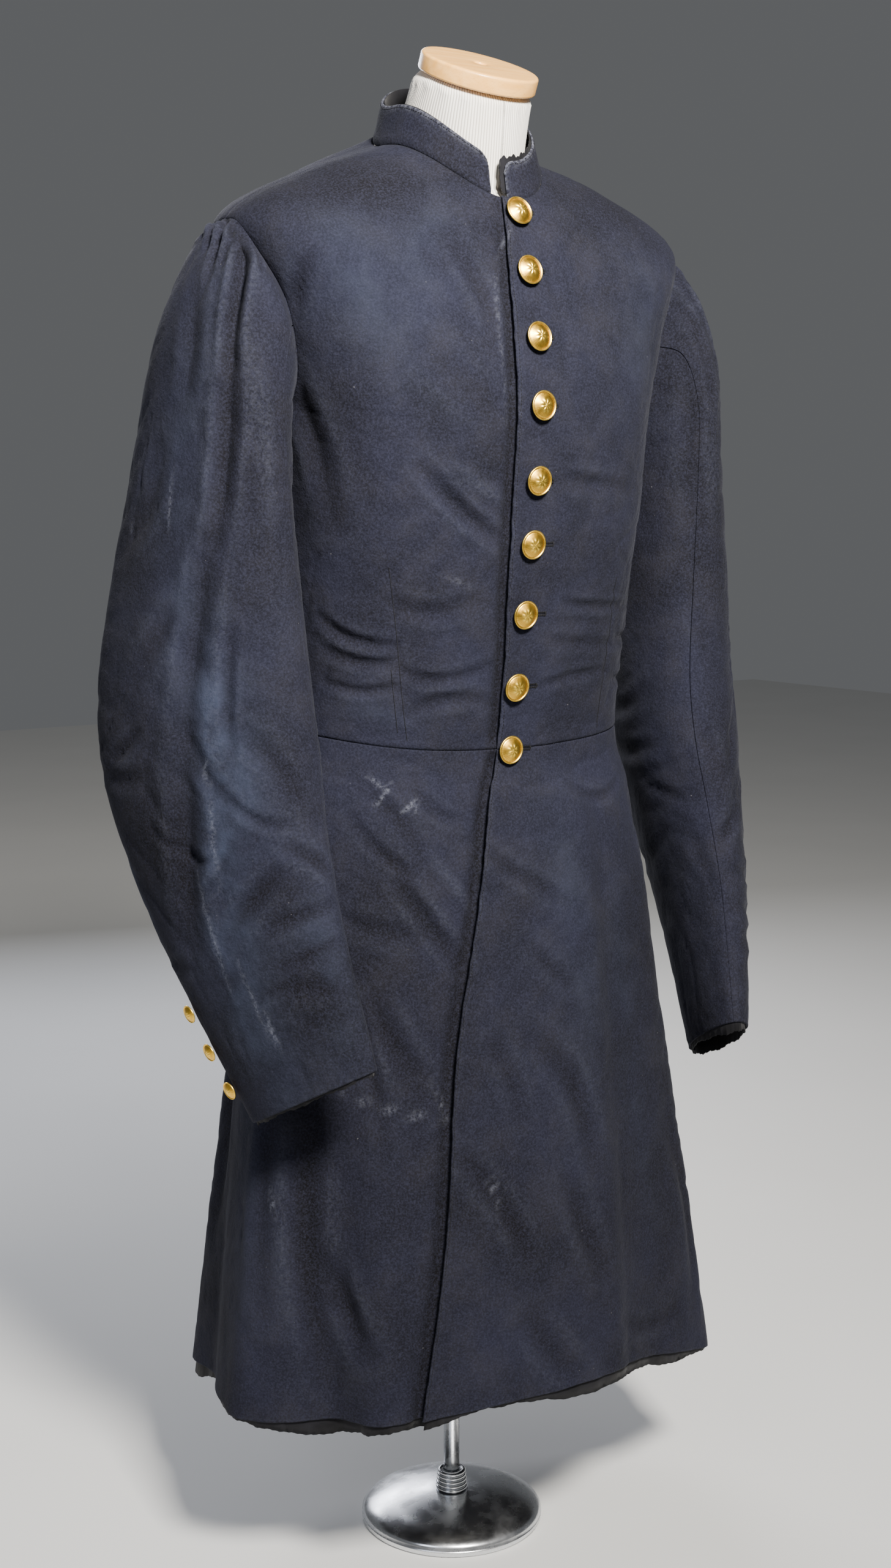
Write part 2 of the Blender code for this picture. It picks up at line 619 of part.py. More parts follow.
def cuff_lining(side, group):
    """Lining inside the cuff, its edge a little below the cloth's."""
    name = "cuff_lining_left" if side > 0 else "cuff_lining_right"
    top, under = sleeve_angles()
    angle = np.concatenate((under[:-1], top[:-1]))
    cuff = float(len(SLEEVE_RINGS))
    along = np.array((cuff, cuff - CUFF_LINING_ROWS))[:, None]
    points = sleeve_point(angle, along, cuff_drop(side), -CLOTH - CUFF_LINING_GAP)
    axis = points[1].mean(axis=0) - points[0].mean(axis=0)
    axis /= np.linalg.norm(axis)
    more = CUFF_LINING_SAG_LEFT if side > 0 else 0.0
    sag = CUFF_LINING_SAG + more * np.exp(-((angle - CUFF_LINING_SAG_ANGLE) / CUFF_LINING_SAG_HALF) ** 2)
    points[0] -= sag[:, None] * axis
    cloth_panel(name, mirrored_if_right(points, side), group, "lining", LINING, closed=True)


def button_profile(width, height):
    """Shank, rolled rim and low dome of a gilt button, down its outer side."""
    radius = width / 2
    return ((0.0, height), (radius * 0.45, height * 0.94), (radius * 0.80, height * 0.76),
            (radius * 0.90, height * 0.74), (radius, height * 0.56), (radius * 0.94, height * 0.38),
            (radius * 0.28, height * 0.30), (radius * 0.26, 0.0), (0.0, 0.0))


def place_on(part, point, outward, gap=SEAM_GAP):
    """Seat a turned piece on a cloth point, its axis square to the cloth."""
    normal = Vector(outward).normalized()
    part.location = Vector(point) + normal * gap
    part.rotation_euler = Vector((0, 0, 1)).rotation_difference(normal).to_euler()


def front_buttons(group):
    """Nine buttons down the left front, spaced closer towards the waist, the last on the waist seam."""
    for number, level in enumerate(BUTTON_LEVELS, 1):
        level = np.array(level)
        turn = turn_at(level, np.array(BUTTON_LINE))
        lift = lap_lift(0.0, level - 0.1) + (WAIST_BUTTON_LIFT if level <= WAIST else 0.0)
        point = coat_point(turn, level, lift)
        outward = coat_point(turn, level, lift + 0.01) - point
        profile = button_profile(BUTTON_WIDTH, BUTTON_HEIGHT)
        part = turned("front_button_%d" % number, profile, "gilt", group, FRONT_BUTTON_STEPS)
        place_on(part, point, outward)


def cuff_buttons(side, group):
    """Three small buttons up the back seam of each cuff, on the top sleeve."""
    hand = "left" if side > 0 else "right"
    cuff = float(len(SLEEVE_RINGS))
    for number, rise in enumerate(CUFF_BUTTON_RISE, 1):
        along = cuff - rise / LAST_SLEEVE_STEP
        angle = CUFF_BUTTON_ANGLE
        drop = cuff_drop(side)
        point = sleeve_point(angle, along, drop)
        around = sleeve_point(angle + 2.0, along, drop) - sleeve_point(angle - 2.0, along, drop)
        down = sleeve_point(angle, along + 0.03, drop) - sleeve_point(angle, along - 0.03, drop)
        outward = np.cross(down, around)
        if outward[0] < 0:
            outward = -outward
        flip = np.array((side, 1.0, 1.0))
        profile = button_profile(CUFF_BUTTON_WIDTH, CUFF_BUTTON_HEIGHT)
        part = turned("cuff_button_%s_%d" % (hand, number), profile, "gilt", group, CUFF_BUTTON_STEPS)
        place_on(part, point * flip, outward * flip, CUFF_BUTTON_LIFT)


def form_rings():
    """Rings of the dress form: inside the coat from the hips to the neck, then up the leaning neck."""
    turn = np.arange(0.0, 360.0, FORM_TURNS)
    hollow = FORM_BACK_HOLLOW * np.clip(-np.cos(np.radians(turn)), 0.0, 1.0)
    rings = [coat_point(turn, level, -depth - hollow) for level, depth in FORM_INSIDE]
    root = coat_point(turn, NECK)
    middle = root.mean(axis=0)
    foot = middle + (root - middle) * NECK_FOOT
    foot[:, 2] -= NECK_FOOT_DROP
    slope = np.tan(np.radians(NECK_SLOPE))
    half_x, half_y = NECK_TOP_HALF

    def slanting_ring(smaller, below):
        """Ring parallel to the cap's underside, this far below it."""
        x = (half_x - smaller) * np.sin(np.radians(turn))
        y = NECK_TOP_Y - (half_y - smaller) * np.cos(np.radians(turn))
        return np.stack((x, y, CAP_CENTRE[2] + slope * (y - CAP_CENTRE[1]) - below), axis=-1)

    top = slanting_ring(0.0, NECK_ROUND * 1.3)
    for share in NECK_RISES:
        rings.append(foot + (top - foot) * share)
    rings.append(slanting_ring(NECK_ROUND * 0.3, NECK_ROUND * 0.5))
    rings.append(slanting_ring(NECK_ROUND, SEAM_GAP / np.cos(np.radians(NECK_SLOPE))))
    return np.array(rings)


def form_body(group):
    """Closed body of the dress form, jersey covered, flat at the hips and at the neck's slanting top."""
    rings = form_rings()
    mesh = grid_mesh("form_body", rings, closed=True)
    build = bmesh.new()
    build.from_mesh(mesh)
    bmesh.ops.holes_fill(build, edges=[edge for edge in build.edges if edge.is_boundary])
    bmesh.ops.triangulate(build, faces=[face for face in build.faces if len(face.verts) > 4])
    build.to_mesh(mesh)
    build.free()
    finish_object("form_body", mesh, "jersey", group)


def neck_cap(group):
    """Wooden disc on the neck, rounded at its edge, with a small hole at its centre."""
    radius, thick, hole = CAP_WIDTH / 2, CAP_THICK, CAP_HOLE
    bend = thick * CAP_BEND
    profile = [(0.0, thick - CAP_HOLE_DEEP), (hole, thick - CAP_HOLE_DEEP), (hole, thick)]
    for angle in (90, 60, 30, 0):
        profile.append((radius - bend + bend * np.cos(np.radians(angle)),
                        thick - bend + bend * np.sin(np.radians(angle))))
    profile += [(radius, bend), (radius - bend * 0.5, 0.0), (0.0, 0.0)]
    part = turned("neck_cap", profile, "wood", group, CAP_STEPS)
    part.location = CAP_CENTRE
    part.rotation_euler = (np.radians(NECK_SLOPE), 0.0, 0.0)


def stand(group):
    """Chrome stand: domed base, ringed collar and pole up into the form's flat underside."""
    radius = BASE_WIDTH / 2
    profile = [(0.0, BASE_RISE), (POLE_WIDTH / 2, BASE_RISE)]
    for share in (0.35, 0.55, 0.72, 0.85, 0.94, 1.0):
        profile.append((radius * share, BASE_RIM + (BASE_RISE - BASE_RIM) * np.sqrt(1.0 - share**2 * 0.995)))
    profile += [(radius, BASE_FOOT), (radius - BASE_FOOT, 0.0), (0.0, 0.0)]
    turned("base", profile, "chrome", group, BASE_STEPS)

    bore = POLE_WIDTH / 2 + SEAM_GAP
    foot = BASE_RISE + SEAM_GAP
    outer = POLE_COLLAR_WIDTH / 2
    height = POLE_COLLAR_RINGS * POLE_COLLAR_PITCH
    profile = [(bore, foot + height)]
    for ring in reversed(range(POLE_COLLAR_RINGS)):
        low = foot + ring * POLE_COLLAR_PITCH
        wide = outer - POLE_COLLAR_TAPER * ring
        profile += [(wide - POLE_COLLAR_GROOVE, low + POLE_COLLAR_PITCH),
                    (wide, low + POLE_COLLAR_PITCH * 0.7),
                    (wide, low + POLE_COLLAR_PITCH * 0.3)]
    profile += [(outer - POLE_COLLAR_GROOVE, foot), (bore, foot), (bore, foot + height)]
    turned("pole_collar", profile, "chrome", group, POLE_COLLAR_STEPS)

    top = form_rings()[0][:, 2].min() - SEAM_GAP
    bpy.ops.mesh.primitive_cylinder_add(vertices=20, radius=POLE_WIDTH / 2, depth=top - foot,
                                        location=(0.0, 0.0, (top + foot) / 2))
    pole = bpy.context.object
    pole.name = "pole"
    pole.data.materials.append(material("chrome"))
    for owner in list(pole.users_collection):
        owner.objects.unlink(pole)
    group.objects.link(pole)


def main():
    """Clear the scene and build every piece."""
    for old in list(bpy.data.objects):
        bpy.data.objects.remove(old, do_unlink=True)
    group = collection("frock coat on dress form")
    for side in (-1, 1):
        front_panel(side, group)
        side_panel(side, group)
        back_panel(side, group)
        skirt_panel(side, group)
        skirt_lining(side, group)
        sleeve_panels(side, group)
        cuff_lining(side, group)
        cuff_buttons(side, group)
    collar_pieces(group)
    front_buttons(group)
    form_body(group)
    neck_cap(group)
    stand(group)


main()
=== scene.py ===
# %% [markdown]
# # A frock coat on its dress form
# A frock coat is a body of close-fitting panels with full skirts seamed on at the waist. This one is
# milled navy wool, worn by a limbless form on a chrome stand. The measured solids come in first, and
# every piece below is laid on the same surface as its solid, with more points, folds and stitches.

# %% Load the measured model
import bpy
import numpy as np
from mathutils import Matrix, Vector


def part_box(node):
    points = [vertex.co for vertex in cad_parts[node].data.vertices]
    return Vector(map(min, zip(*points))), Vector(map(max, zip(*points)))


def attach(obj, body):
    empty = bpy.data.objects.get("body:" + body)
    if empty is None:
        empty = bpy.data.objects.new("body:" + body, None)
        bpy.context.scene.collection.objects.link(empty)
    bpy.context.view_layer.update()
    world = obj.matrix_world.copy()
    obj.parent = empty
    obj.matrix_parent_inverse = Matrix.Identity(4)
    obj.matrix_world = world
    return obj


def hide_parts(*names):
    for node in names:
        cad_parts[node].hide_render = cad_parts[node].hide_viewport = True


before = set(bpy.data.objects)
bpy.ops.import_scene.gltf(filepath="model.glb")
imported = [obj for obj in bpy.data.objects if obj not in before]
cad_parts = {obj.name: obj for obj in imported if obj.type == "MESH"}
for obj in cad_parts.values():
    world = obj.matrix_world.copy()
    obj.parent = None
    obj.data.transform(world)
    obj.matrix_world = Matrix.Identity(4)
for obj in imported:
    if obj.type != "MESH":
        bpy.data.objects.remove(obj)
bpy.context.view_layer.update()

# %% [markdown]
# ## Camera
# The picture was taken from the wearer's right, 35 degrees round, a little above the waist and looking
# slightly down. The focal length is in pixels of the picture's long side, so it is turned into a lens.

# %% Place the camera
PICTURE_LONG, SENSOR, FOCAL_PIXELS = 2562, 36.0, 3380.0
CAMERA_TURN, CAMERA_AWAY, CAMERA_HEIGHT, CAMERA_PITCH = np.radians(-35.0), 1.72, 0.89, 7.95

lens = bpy.data.cameras.new("camera")
camera = bpy.data.objects.new("camera", lens)
bpy.context.scene.collection.objects.link(camera)
camera.location = (np.sin(CAMERA_TURN) * CAMERA_AWAY, -np.cos(CAMERA_TURN) * CAMERA_AWAY, CAMERA_HEIGHT)
camera.rotation_euler = (np.radians(90.0 - CAMERA_PITCH), 0.0, CAMERA_TURN)
lens.sensor_width, lens.lens = SENSOR, FOCAL_PIXELS * SENSOR / PICTURE_LONG
lens.shift_x = -10.0 / PICTURE_LONG
bpy.context.scene.camera = camera
print("lens %.1f mm" % lens.lens)

# %% [markdown]
# ## The coat's surface
# A tailor fits a coat by measures taken round the body at fixed heights. The same is done here: one row
# of sizes for the hem, knee, waist, chest, shoulder and neck, and a smooth curve between the rows. A
# point is named by its turn (degrees from the centre front, positive to the wearer's left) and its
# level (row number). It beats one big sculpted mesh, because every panel and seam can be asked for.

# %% Ring table and smooth curves between its rows
CLOTH, SEAM_GAP = 0.0020, 0.0003
HEM, WAIST, UNDERARM, SHOULDER, NECK = 0, 5, 8, 10, 12
RINGS = np.array((  # z front, right, left, back; half width right, left; depth front, back; squareness
    (0.172, 0.160, 0.116, 0.128, 0.221, 0.250, 0.148, 0.184, 2.2),
    (0.310, 0.305, 0.280, 0.285, 0.206, 0.228, 0.134, 0.168, 2.2),
    (0.452, 0.452, 0.440, 0.440, 0.191, 0.204, 0.118, 0.148, 2.2),
    (0.570, 0.575, 0.570, 0.570, 0.180, 0.184, 0.102, 0.126, 2.3),
    (0.640, 0.650, 0.645, 0.645, 0.166, 0.168, 0.089, 0.106, 2.4),
    (0.688, 0.704, 0.696, 0.700, 0.155, 0.156, 0.081, 0.092, 2.4),
    (0.790, 0.795, 0.795, 0.800, 0.156, 0.158, 0.099, 0.100, 2.5),
    (0.880, 0.880, 0.880, 0.885, 0.161, 0.162, 0.114, 0.111, 2.6),
    (0.955, 0.952, 0.952, 0.965, 0.166, 0.167, 0.122, 0.119, 2.6),
    (1.010, 1.030, 1.030, 1.050, 0.186, 0.188, 0.116, 0.116, 2.5),
    (1.055, 1.097, 1.100, 1.116, 0.205, 0.209, 0.105, 0.104, 2.4),
    (1.091, 1.138, 1.141, 1.164, 0.135, 0.136, 0.095, 0.082, 2.2),
    (1.117, 1.164, 1.162, 1.190, 0.064, 0.064, 0.085, 0.062, 2.0)))
SKIRT_FOLDS = (  # turn, half width in turn, depth, level where it starts
    (-56, 9, -.016, 3.4), (-38, 8, .008, 3.0), (-82, 10, .012, 3.6), (-108, 9, -.010, 3.8),
    (-128, 8, .012, 4.4), (-143, 5.5, -.012, 4.6), (2, 9, .004, 4.0), (28, 9, -.009, 3.2),
    (52, 9, .009, 3.6), (76, 9, -.011, 3.8), (104, 10, .010, 4.0), (128, 8, .012, 4.4),
    (143, 5.5, -.012, 4.6))


def smooth_between(knots, values, at):
    """Cubic pieces through (knots, values) with central slopes, read at any array of places."""
    knots, values = np.asarray(knots, float), np.asarray(values, float)
    slopes = np.gradient(values, knots, axis=0)
    at = np.clip(at, knots[0], knots[-1])
    piece = np.clip(np.searchsorted(knots, at, side="right") - 1, 0, len(knots) - 2)
    step = knots[piece + 1] - knots[piece]
    t = (at - knots[piece]) / step
    tail = t.shape + (1,) * (values.ndim - 1)
    t, step = t.reshape(tail), step.reshape(tail)
    start = (2 * t**3 - 3 * t**2 + 1) * values[piece] + (t**3 - 2 * t**2 + t) * step * slopes[piece]
    end = (3 * t**2 - 2 * t**3) * values[piece + 1] + (t**3 - t**2) * step * slopes[piece + 1]
    return start + end


def bare_coat(turn, level):
    """Squared ellipse of the ring at a level, wider or deeper on each side, pushed out by the folds."""
    z_front, z_right, z_left, z_back, right, left, front, back, square = np.moveaxis(
        smooth_between(np.arange(len(RINGS)), RINGS, level), -1, 0)
    sine, cosine = np.sin(np.radians(turn)), np.cos(np.radians(turn))
    x = np.where(sine > 0, left, right) * np.sign(sine) * np.abs(sine) ** (2 / square)
    y = -np.where(cosine > 0, front, back) * np.sign(cosine) * np.abs(cosine) ** (2 / square)
    z = np.where(sine > 0, z_left, z_right) * sine**2 + np.where(cosine > 0, z_front, z_back) * cosine**2
    push = 0.0
    for centre, half, depth, start in SKIRT_FOLDS:
        away = (turn - centre + 180.0) % 360.0 - 180.0
        push = push + depth * np.clip((start - level) / start, 0, 1) ** 1.3 * np.exp(-(away / half) ** 2)
    reach = 1.0 + push / np.hypot(x, y)
    return np.stack((x * reach, y * reach, z), axis=-1)


def unit(vectors):
    """Vectors divided by their length."""
    return vectors / np.linalg.norm(vectors, axis=-1, keepdims=True)


def coat_point(turn, level, out=0.0):
    """Point of the surface plus out times its normal, the cross product of the two small steps."""
    turn, level = np.broadcast_arrays(np.asarray(turn, float), np.asarray(level, float))
    around = bare_coat(turn + 0.4, level) - bare_coat(turn - 0.4, level)
    up = bare_coat(turn, np.clip(level + 0.02, 0, NECK)) - bare_coat(turn, np.clip(level - 0.02, 0, NECK))
    return bare_coat(turn, level) + unit(np.cross(around, up)) * np.asarray(out)[..., None]


print("waist is %.0f mm wide" % (1000 * np.ptp(coat_point([90, -90], WAIST)[:, 0])))

# %% [markdown]
# ## Where the seams run
# The front edges, the armhole and the side back seam are lines on that surface. The left front laps
# over the right one, so everything on the left is lifted near the centre by a little more than the
# cloth's thickness.

# %% Lines of the cut
SIDE_TURN, ARMHOLE_FRONT, ARMHOLE_BACK = 92.0, 19.0, 27.0
BACK_SEAM_WAIST, BACK_SEAM_SKIRT, BACK_SEAM_BOW, BACK_SEAM_ON_ARMHOLE = 158.0, 157.0, 5.0, 67.5
FRONT_EDGES = np.array((  # level, x of the left front's edge, x of the right one's
    (0.0, -.120, .060), (1.0, -.093, .052), (2.0, -.075, .044), (3.0, -.046, .036), (4.2, -.026, .030),
    (5.0, -.013, .026), (5.6, -.014, .024), (6.2, -.019, .024), (7.0, -.023, .024), (9.0, -.023, .024),
    (10.5, -.018, .022), (12.0, -.012, .012)))


def turn_at(level, x):
    """Turn at which the front of a ring has the given x: the squared ellipse's sine turned round."""
    ring = smooth_between(np.arange(len(RINGS)), RINGS, level)
    wide = np.where(x > 0, ring[..., 5], ring[..., 4])
    return np.degrees(np.arcsin(np.sign(x) * (np.abs(x) / wide) ** (ring[..., 8] / 2)))


def front_edge(level, side):
    """Turn of a front edge at a level."""
    return turn_at(level, smooth_between(FRONT_EDGES[:, 0], FRONT_EDGES[:, 1 if side > 0 else 2], level))


def armhole(angle):
    """Half ellipse each way from the side line: spread in turn by the sine, level by the cosine."""
    sine = np.sin(np.radians(angle))
    return np.where(sine > 0, ARMHOLE_BACK, ARMHOLE_FRONT) * sine, 9.0 - np.cos(np.radians(angle))


def armhole_reach(level, spread):
    """Spread of the armhole in turn at a level: spread times the root of one less height squared."""
    return spread * np.sqrt(np.clip(1.0 - (level - 9.0) ** 2, 0.0, 1.0))


def back_outer_turn(level):
    """Outer edge of the back: pleat below the waist, bowed side back seam, armhole, shoulder."""
    spread, top = armhole(BACK_SEAM_ON_ARMHOLE)
    rise = np.clip((level - WAIST) / (top - WAIST), 0, 1)
    seam = BACK_SEAM_WAIST + (SIDE_TURN + spread - BACK_SEAM_WAIST) * rise
    seam = seam + BACK_SEAM_BOW * np.sin(np.pi * rise)
    skirt = BACK_SEAM_WAIST + (BACK_SEAM_SKIRT - BACK_SEAM_WAIST) * np.clip(WAIST - level, 0, 1)
    upper = np.where(level < top, seam, SIDE_TURN + armhole_reach(level, ARMHOLE_BACK))
    return np.where(level < WAIST, skirt, upper)


def lap_lift(x, level):
    """Lift of a left panel over the right one, faded out past the lap by a smooth step."""
    skirt = np.clip((WAIST - level) / 1.2, 0, 1)
    fade = np.clip((0.062 + 0.030 * skirt - x) / 0.030, 0, 1)
    return (0.0026 + 0.0039 * skirt) * fade * fade * (3 - 2 * fade)


def crowded(count, length):
    """Even steps from 0 to 1 along a length, with five fine ones at both ends, where an edge rounds down."""
    fine = np.array((0.0, 0.0004, 0.0008, 0.0013, 0.0022)) / length
    return np.concatenate((fine, np.linspace(0.005 / length, 1 - 0.005 / length, count - 10), 1 - fine[::-1]))


print("left front's edge at the waist: %.1f degrees" % front_edge(np.array(float(WAIST)), 1))

# %% [markdown]
# ## Folds, wear, stains and painted shade as strokes
# Wool keeps the creases of the body that wore it. Each one is a stroke: a bowed line through three
# places on the surface, with a width and a depth. The nearest distance to that line gives a soft
# trough with a low ridge along each side. Faded streaks, dark patches and scratches are strokes too;
# some of the dark patches are painted shade.
# Simulated cloth would crease elsewhere, so the creases are listed one by one.

# %% Strokes on a surface
def stroke_distance(points, line):
    """Distance of every point to a line of eleven points, and how far along it that is."""
    best = np.full(points.shape[:-1], 9.0)
    along = np.zeros(points.shape[:-1])
    for number, (a, b) in enumerate(zip(line[:-1], line[1:])):
        step = b - a
        share = np.clip((points - a) @ step / (step @ step), 0, 1)
        distance = np.linalg.norm(points - a - share[..., None] * step, axis=-1)
        along = np.where(distance < best, (number + share) / 10, along)
        best = np.minimum(best, distance)
    return best, along


def bowed(ends, count):
    """Turns and levels of a line bowed through three places: the parabola that meets all three."""
    t = np.linspace(0, 1, count)
    weights = np.stack(((1 - t) * (1 - 2 * t), 4 * t * (1 - t), t * (2 * t - 1)), -1)
    return weights @ ends[0::2], weights @ ends[1::2]


def strokes(points, place, rows, ridge=0.0):
    """Sum of the strokes: amount times a bell curve over the width, less a ridge at twice the width.

    A fold, which has a ridge, is drawn seven tenths as wide, so that its sides are steep.
    """
    total = np.zeros(points.shape[:-1])
    for *ends, width, amount in rows:
        distance, along = stroke_distance(points, place(*bowed(ends, 11)))
        near = distance / (width * (0.0007 if ridge else 0.001))
        shape = np.exp(-near**1.5) - ridge * np.exp(-((near - 1.9) / 0.8) ** 2)
        total += amount * shape * (0.3 + 0.7 * np.sin(np.pi * np.clip(along, 0.02, 0.98)))
    return total


def cockle(points, seed=0.0):
    """Faint unevenness of the cloth, three crossing waves of 50 to 120 mm, a third of a millimetre high."""
    x, y, z = np.moveaxis(points, -1, 0)
    return 0.00016 * (np.sin(71 * x + 33 * z + seed) + np.sin(54 * z - 61 * y + 2 * seed)
                      + np.sin(97 * x + 83 * y - 26 * z + 3 * seed))


RUMPLE_WAVES = ((60, 20, 75), (-45, 50, 88), (95, -30, -35), (25, 80, -60), (120, 60, 130), (-150, 90, 60))


def rumple(points, height, seed=0.0):
    """Small crossed creases, strongest in patches: one less the size of a bent wave, to the fourth."""
    x, y, z = np.moveaxis(points, -1, 0)
    total = 0.0
    for number, (a, b, c) in enumerate(RUMPLE_WAVES):
        bend = 1.3 * np.sin(0.31 * (b * x - c * y + a * z) + seed + number)
        bend = bend + 0.7 * np.sin(0.8 * (c * x + a * y - b * z) + 2 * number)
        patch = np.clip(np.sin(0.23 * (c * x + b * y + a * z) + 1.7 * number + seed), 0, 1)
        total = total + patch * (1 - np.abs(np.sin(a * x + b * y + c * z + bend))) ** 4
    return -height * total


# metres of fold for each mm of depth in the tables, and the height of its ridges beside its trough
FOLD_DEPTH, DART_DEPTH, FOLD_RIDGE = 0.0013, 0.001, 0.35
SKIRT_RUMPLE, BODY_RUMPLE, SLEEVE_RUMPLE = 0.0010, 0.0006, 0.0012
# turn and level of start, middle and end, then width and depth in mm
BODY_CREASES = (
    (-58.5, 11.86, -46.5, 11.52, -35.5, 11.06, 3, -1.0), (28.5, 11.64, 24, 11.46, 21, 11.28, 3, -0.9),
    (-20.5, 10.68, -10, 9.76, -9.5, 8.86, 9, -2.4), (-27, 8.8, -20.5, 8.34, -11.5, 8.06, 14, -2.0),
    (-32, 7.38, -18.5, 6.98, -7.5, 6.72, 8, -3.6), (-22, 7.42, -12.5, 7.18, -7, 7.08, 8, 1.6),
    (-77, 8.76, -67, 9.16, -55, 9.64, 8, -3.2), (-84, 8.44, -76, 7.84, -66, 6.88, 14, -3.0),
    (-73, 6.02, -58.5, 5.86, -39.5, 5.82, 6, -3.0), (-71, 5.76, -52.5, 5.68, -38, 5.72, 6, -2.6),
    (-69.5, 5.5, -52, 5.46, -38, 5.52, 5, -2.2), (-36.5, 5.64, -22, 5.58, -7, 5.68, 6, -2.0),
    (-32.5, 5.32, -19.5, 5.44, -5, 5.4, 7, -1.8), (-41.5, 6.18, -28, 6.1, -10.5, 6.18, 9, -1.6),
    (2.5, 7.26, 13, 7.24, 36.5, 7.18, 8, -1.5), (6.5, 5.52, 18, 5.56, 38, 5.56, 5, -2.2),
    (9.5, 6.16, 24.5, 6.1, 59, 6.06, 5, -2.0), (5.5, 5.88, 20, 5.8, 53, 5.76, 6, -1.5),
    (77, 8.7, 68, 9.1, 57, 9.6, 9, -2.6), (86, 8.3, 78, 7.8, 66, 7.0, 13, -2.4),
    (42, 5.5, 62, 5.45, 86, 5.6, 6, -2.0), (40, 5.85, 58, 5.78, 84, 5.95, 7, -1.7),
    (-96, 8.2, -110, 7.6, -122, 6.9, 12, -2.6), (96, 8.2, 108, 7.5, 124, 6.8, 12, -2.4),
    (-100, 5.6, -120, 5.5, -150, 5.62, 6, -2.0), (-98, 6.0, -122, 5.86, -148, 5.95, 8, -1.6),
    (100, 5.55, 122, 5.6, 150, 5.5, 6, -2.0), (103, 6.1, 125, 5.95, 150, 6.02, 8, -1.6),
    (190, 6.1, 180, 5.95, 168, 6.08, 8, -1.6), (-140, 9.2, -150, 8.6, -158, 8.0, 14, -2.0),
    (140, 9.3, 150, 8.7, 157, 8.0, 14, -2.0), (194, 11.4, 180, 11.25, 166, 11.4, 10, -1.0))
DARTS = (
    (-43, 6.5, -38, 5.78, -32, 5.06, 3.0, -1.2), (-40.5, 5.66, -38.5, 5.44, -36, 5.14, 3.0, -1.0),
    (35, 6.36, 36.5, 5.7, 37, 5.06, 3.0, -1.0), (6, 11.9, 3.8, 10.2, 4.4, 9.36, 3.5, -1.7),
    (4.4, 9.36, 4.4, 8.76, 3.4, 8.08, 3.5, -1.7))
SKIRT_CREASES = (
    (-34, 3.2, -26, 2.86, -18, 2.56, 8, -4.5), (-25, 3.48, -17.5, 3.14, -13, 2.92, 7, 1.6),
    (-55, 1.78, -38, 1.68, -24, 1.6, 2.5, -0.9), (-58, .9, -52, .64, -44, .4, 12, -4.0),
    (-43.5, 2.34, -38, 2.12, -28, 1.78, 12, -3.0), (-54, 2.9, -41, 2.82, -26.5, 2.76, 9, -2.0),
    (-64.5, 1.52, -64, .98, -57.5, .24, 14, -4.0), (-46.5, 4.34, -35, 3.92, -27, 3.48, 8, -2.2),
    (-20.5, 1.44, -11, 1.14, -5.5, .84, 9, -4.5), (-8.5, 3.46, .5, 3.14, 10, 2.88, 7, -2.6),
    (-1.5, 2.66, 3, 2.48, 8.5, 2.32, 7, -3.0), (-2, 2.06, 7, 1.7, 10, 1.26, 12, -3.0),
    (3.5, 1.2, 6.5, .92, 10, .64, 11, -3.2), (17.5, 2.56, 16.5, 2.1, 14, 1.66, 2.5, 1.0),
    (-5.5, .46, -1, .22, 3, .04, 12, -3.2), (16, .3, 27, .2, 40, .28, 7, -2.2),
    (-52, 3.9, -40, 3.5, -30, 3.3, 6, -2.4), (-30, 4.6, -24, 4.1, -14, 3.9, 6, -2.0),
    (-60, 2.5, -48, 2.2, -40, 1.5, 7, -2.6), (16, 4.3, 28, 4.0, 44, 4.1, 6, -2.0),
    (-11.5, 2.06, -7.5, 1.84, -5, 1.58, 8, -2.4), (60, 3.9, 66, 3.2, 64, 2.4, 12, -3.0),
    (88, 2.8, 92, 2.0, 88, 1.2, 14, -3.5), (-92, 3.6, -96, 2.8, -92, 2.0, 12, -3.0),
    (-118, 2.4, -114, 1.6, -118, .8, 13, -3.2), (118, 3.0, 114, 2.0, 118, 1.1, 12, -3.0),
    (-74, 2.0, -79, 1.4, -76, .6, 11, -2.4), (44, 1.4, 50, .9, 47, .3, 11, -2.4),
    (-163, 3.8, -166, 3.0, -162, 2.0, 9, -2.0), (164, 3.4, 167, 2.4, 163, 1.4, 9, -2.0))
print(len(BODY_CREASES) + len(DARTS) + len(SKIRT_CREASES), "creases and darts on body and skirts")

# %% [markdown]
# ## From grid to cloth
# A cut piece of cloth has two faces and a thin rim. Each panel is a grid of points on the surface, moved
# out for the face and in for the back, and rounded down where it ends, so that two panels that meet
# leave the fine groove of a pressed seam.

# %% Shells from two grids
def edge_runs(points):
    """Distances to the four edges, along the grid's own lines: low, high, first and last."""
    up = np.linalg.norm(np.diff(points, axis=0), axis=-1).cumsum(axis=0)
    up = np.vstack((np.zeros((1, points.shape[1])), up))
    across = np.linalg.norm(np.diff(points, axis=1), axis=-1).cumsum(axis=1)
    across = np.hstack((np.zeros((points.shape[0], 1)), across))
    return up, up[-1:] - up, across, across[:, -1:] - across


def rounded(run, radius=0.0013, depth=0.0009):
    """Quarter circle down to the depth at the edge, flat once the radius is passed."""
    short = np.clip(1.0 - run / radius, 0.0, 1.0)
    return depth * (1.0 - np.sqrt(1.0 - short**2)) + 0.0003 * np.exp(-run / 0.004)


def outward(vertices, faces):
    """Faces as they are, or all turned over where the closed mesh's volume comes out negative."""
    volume = 0.0
    for corner in range(1, faces.shape[1] - 1):
        a, b, c = (vertices[faces[:, i]] for i in (0, corner, corner + 1))
        volume += np.einsum("ij,ij->", a, np.cross(b, c))
    return faces if volume > 0 else faces[:, ::-1]


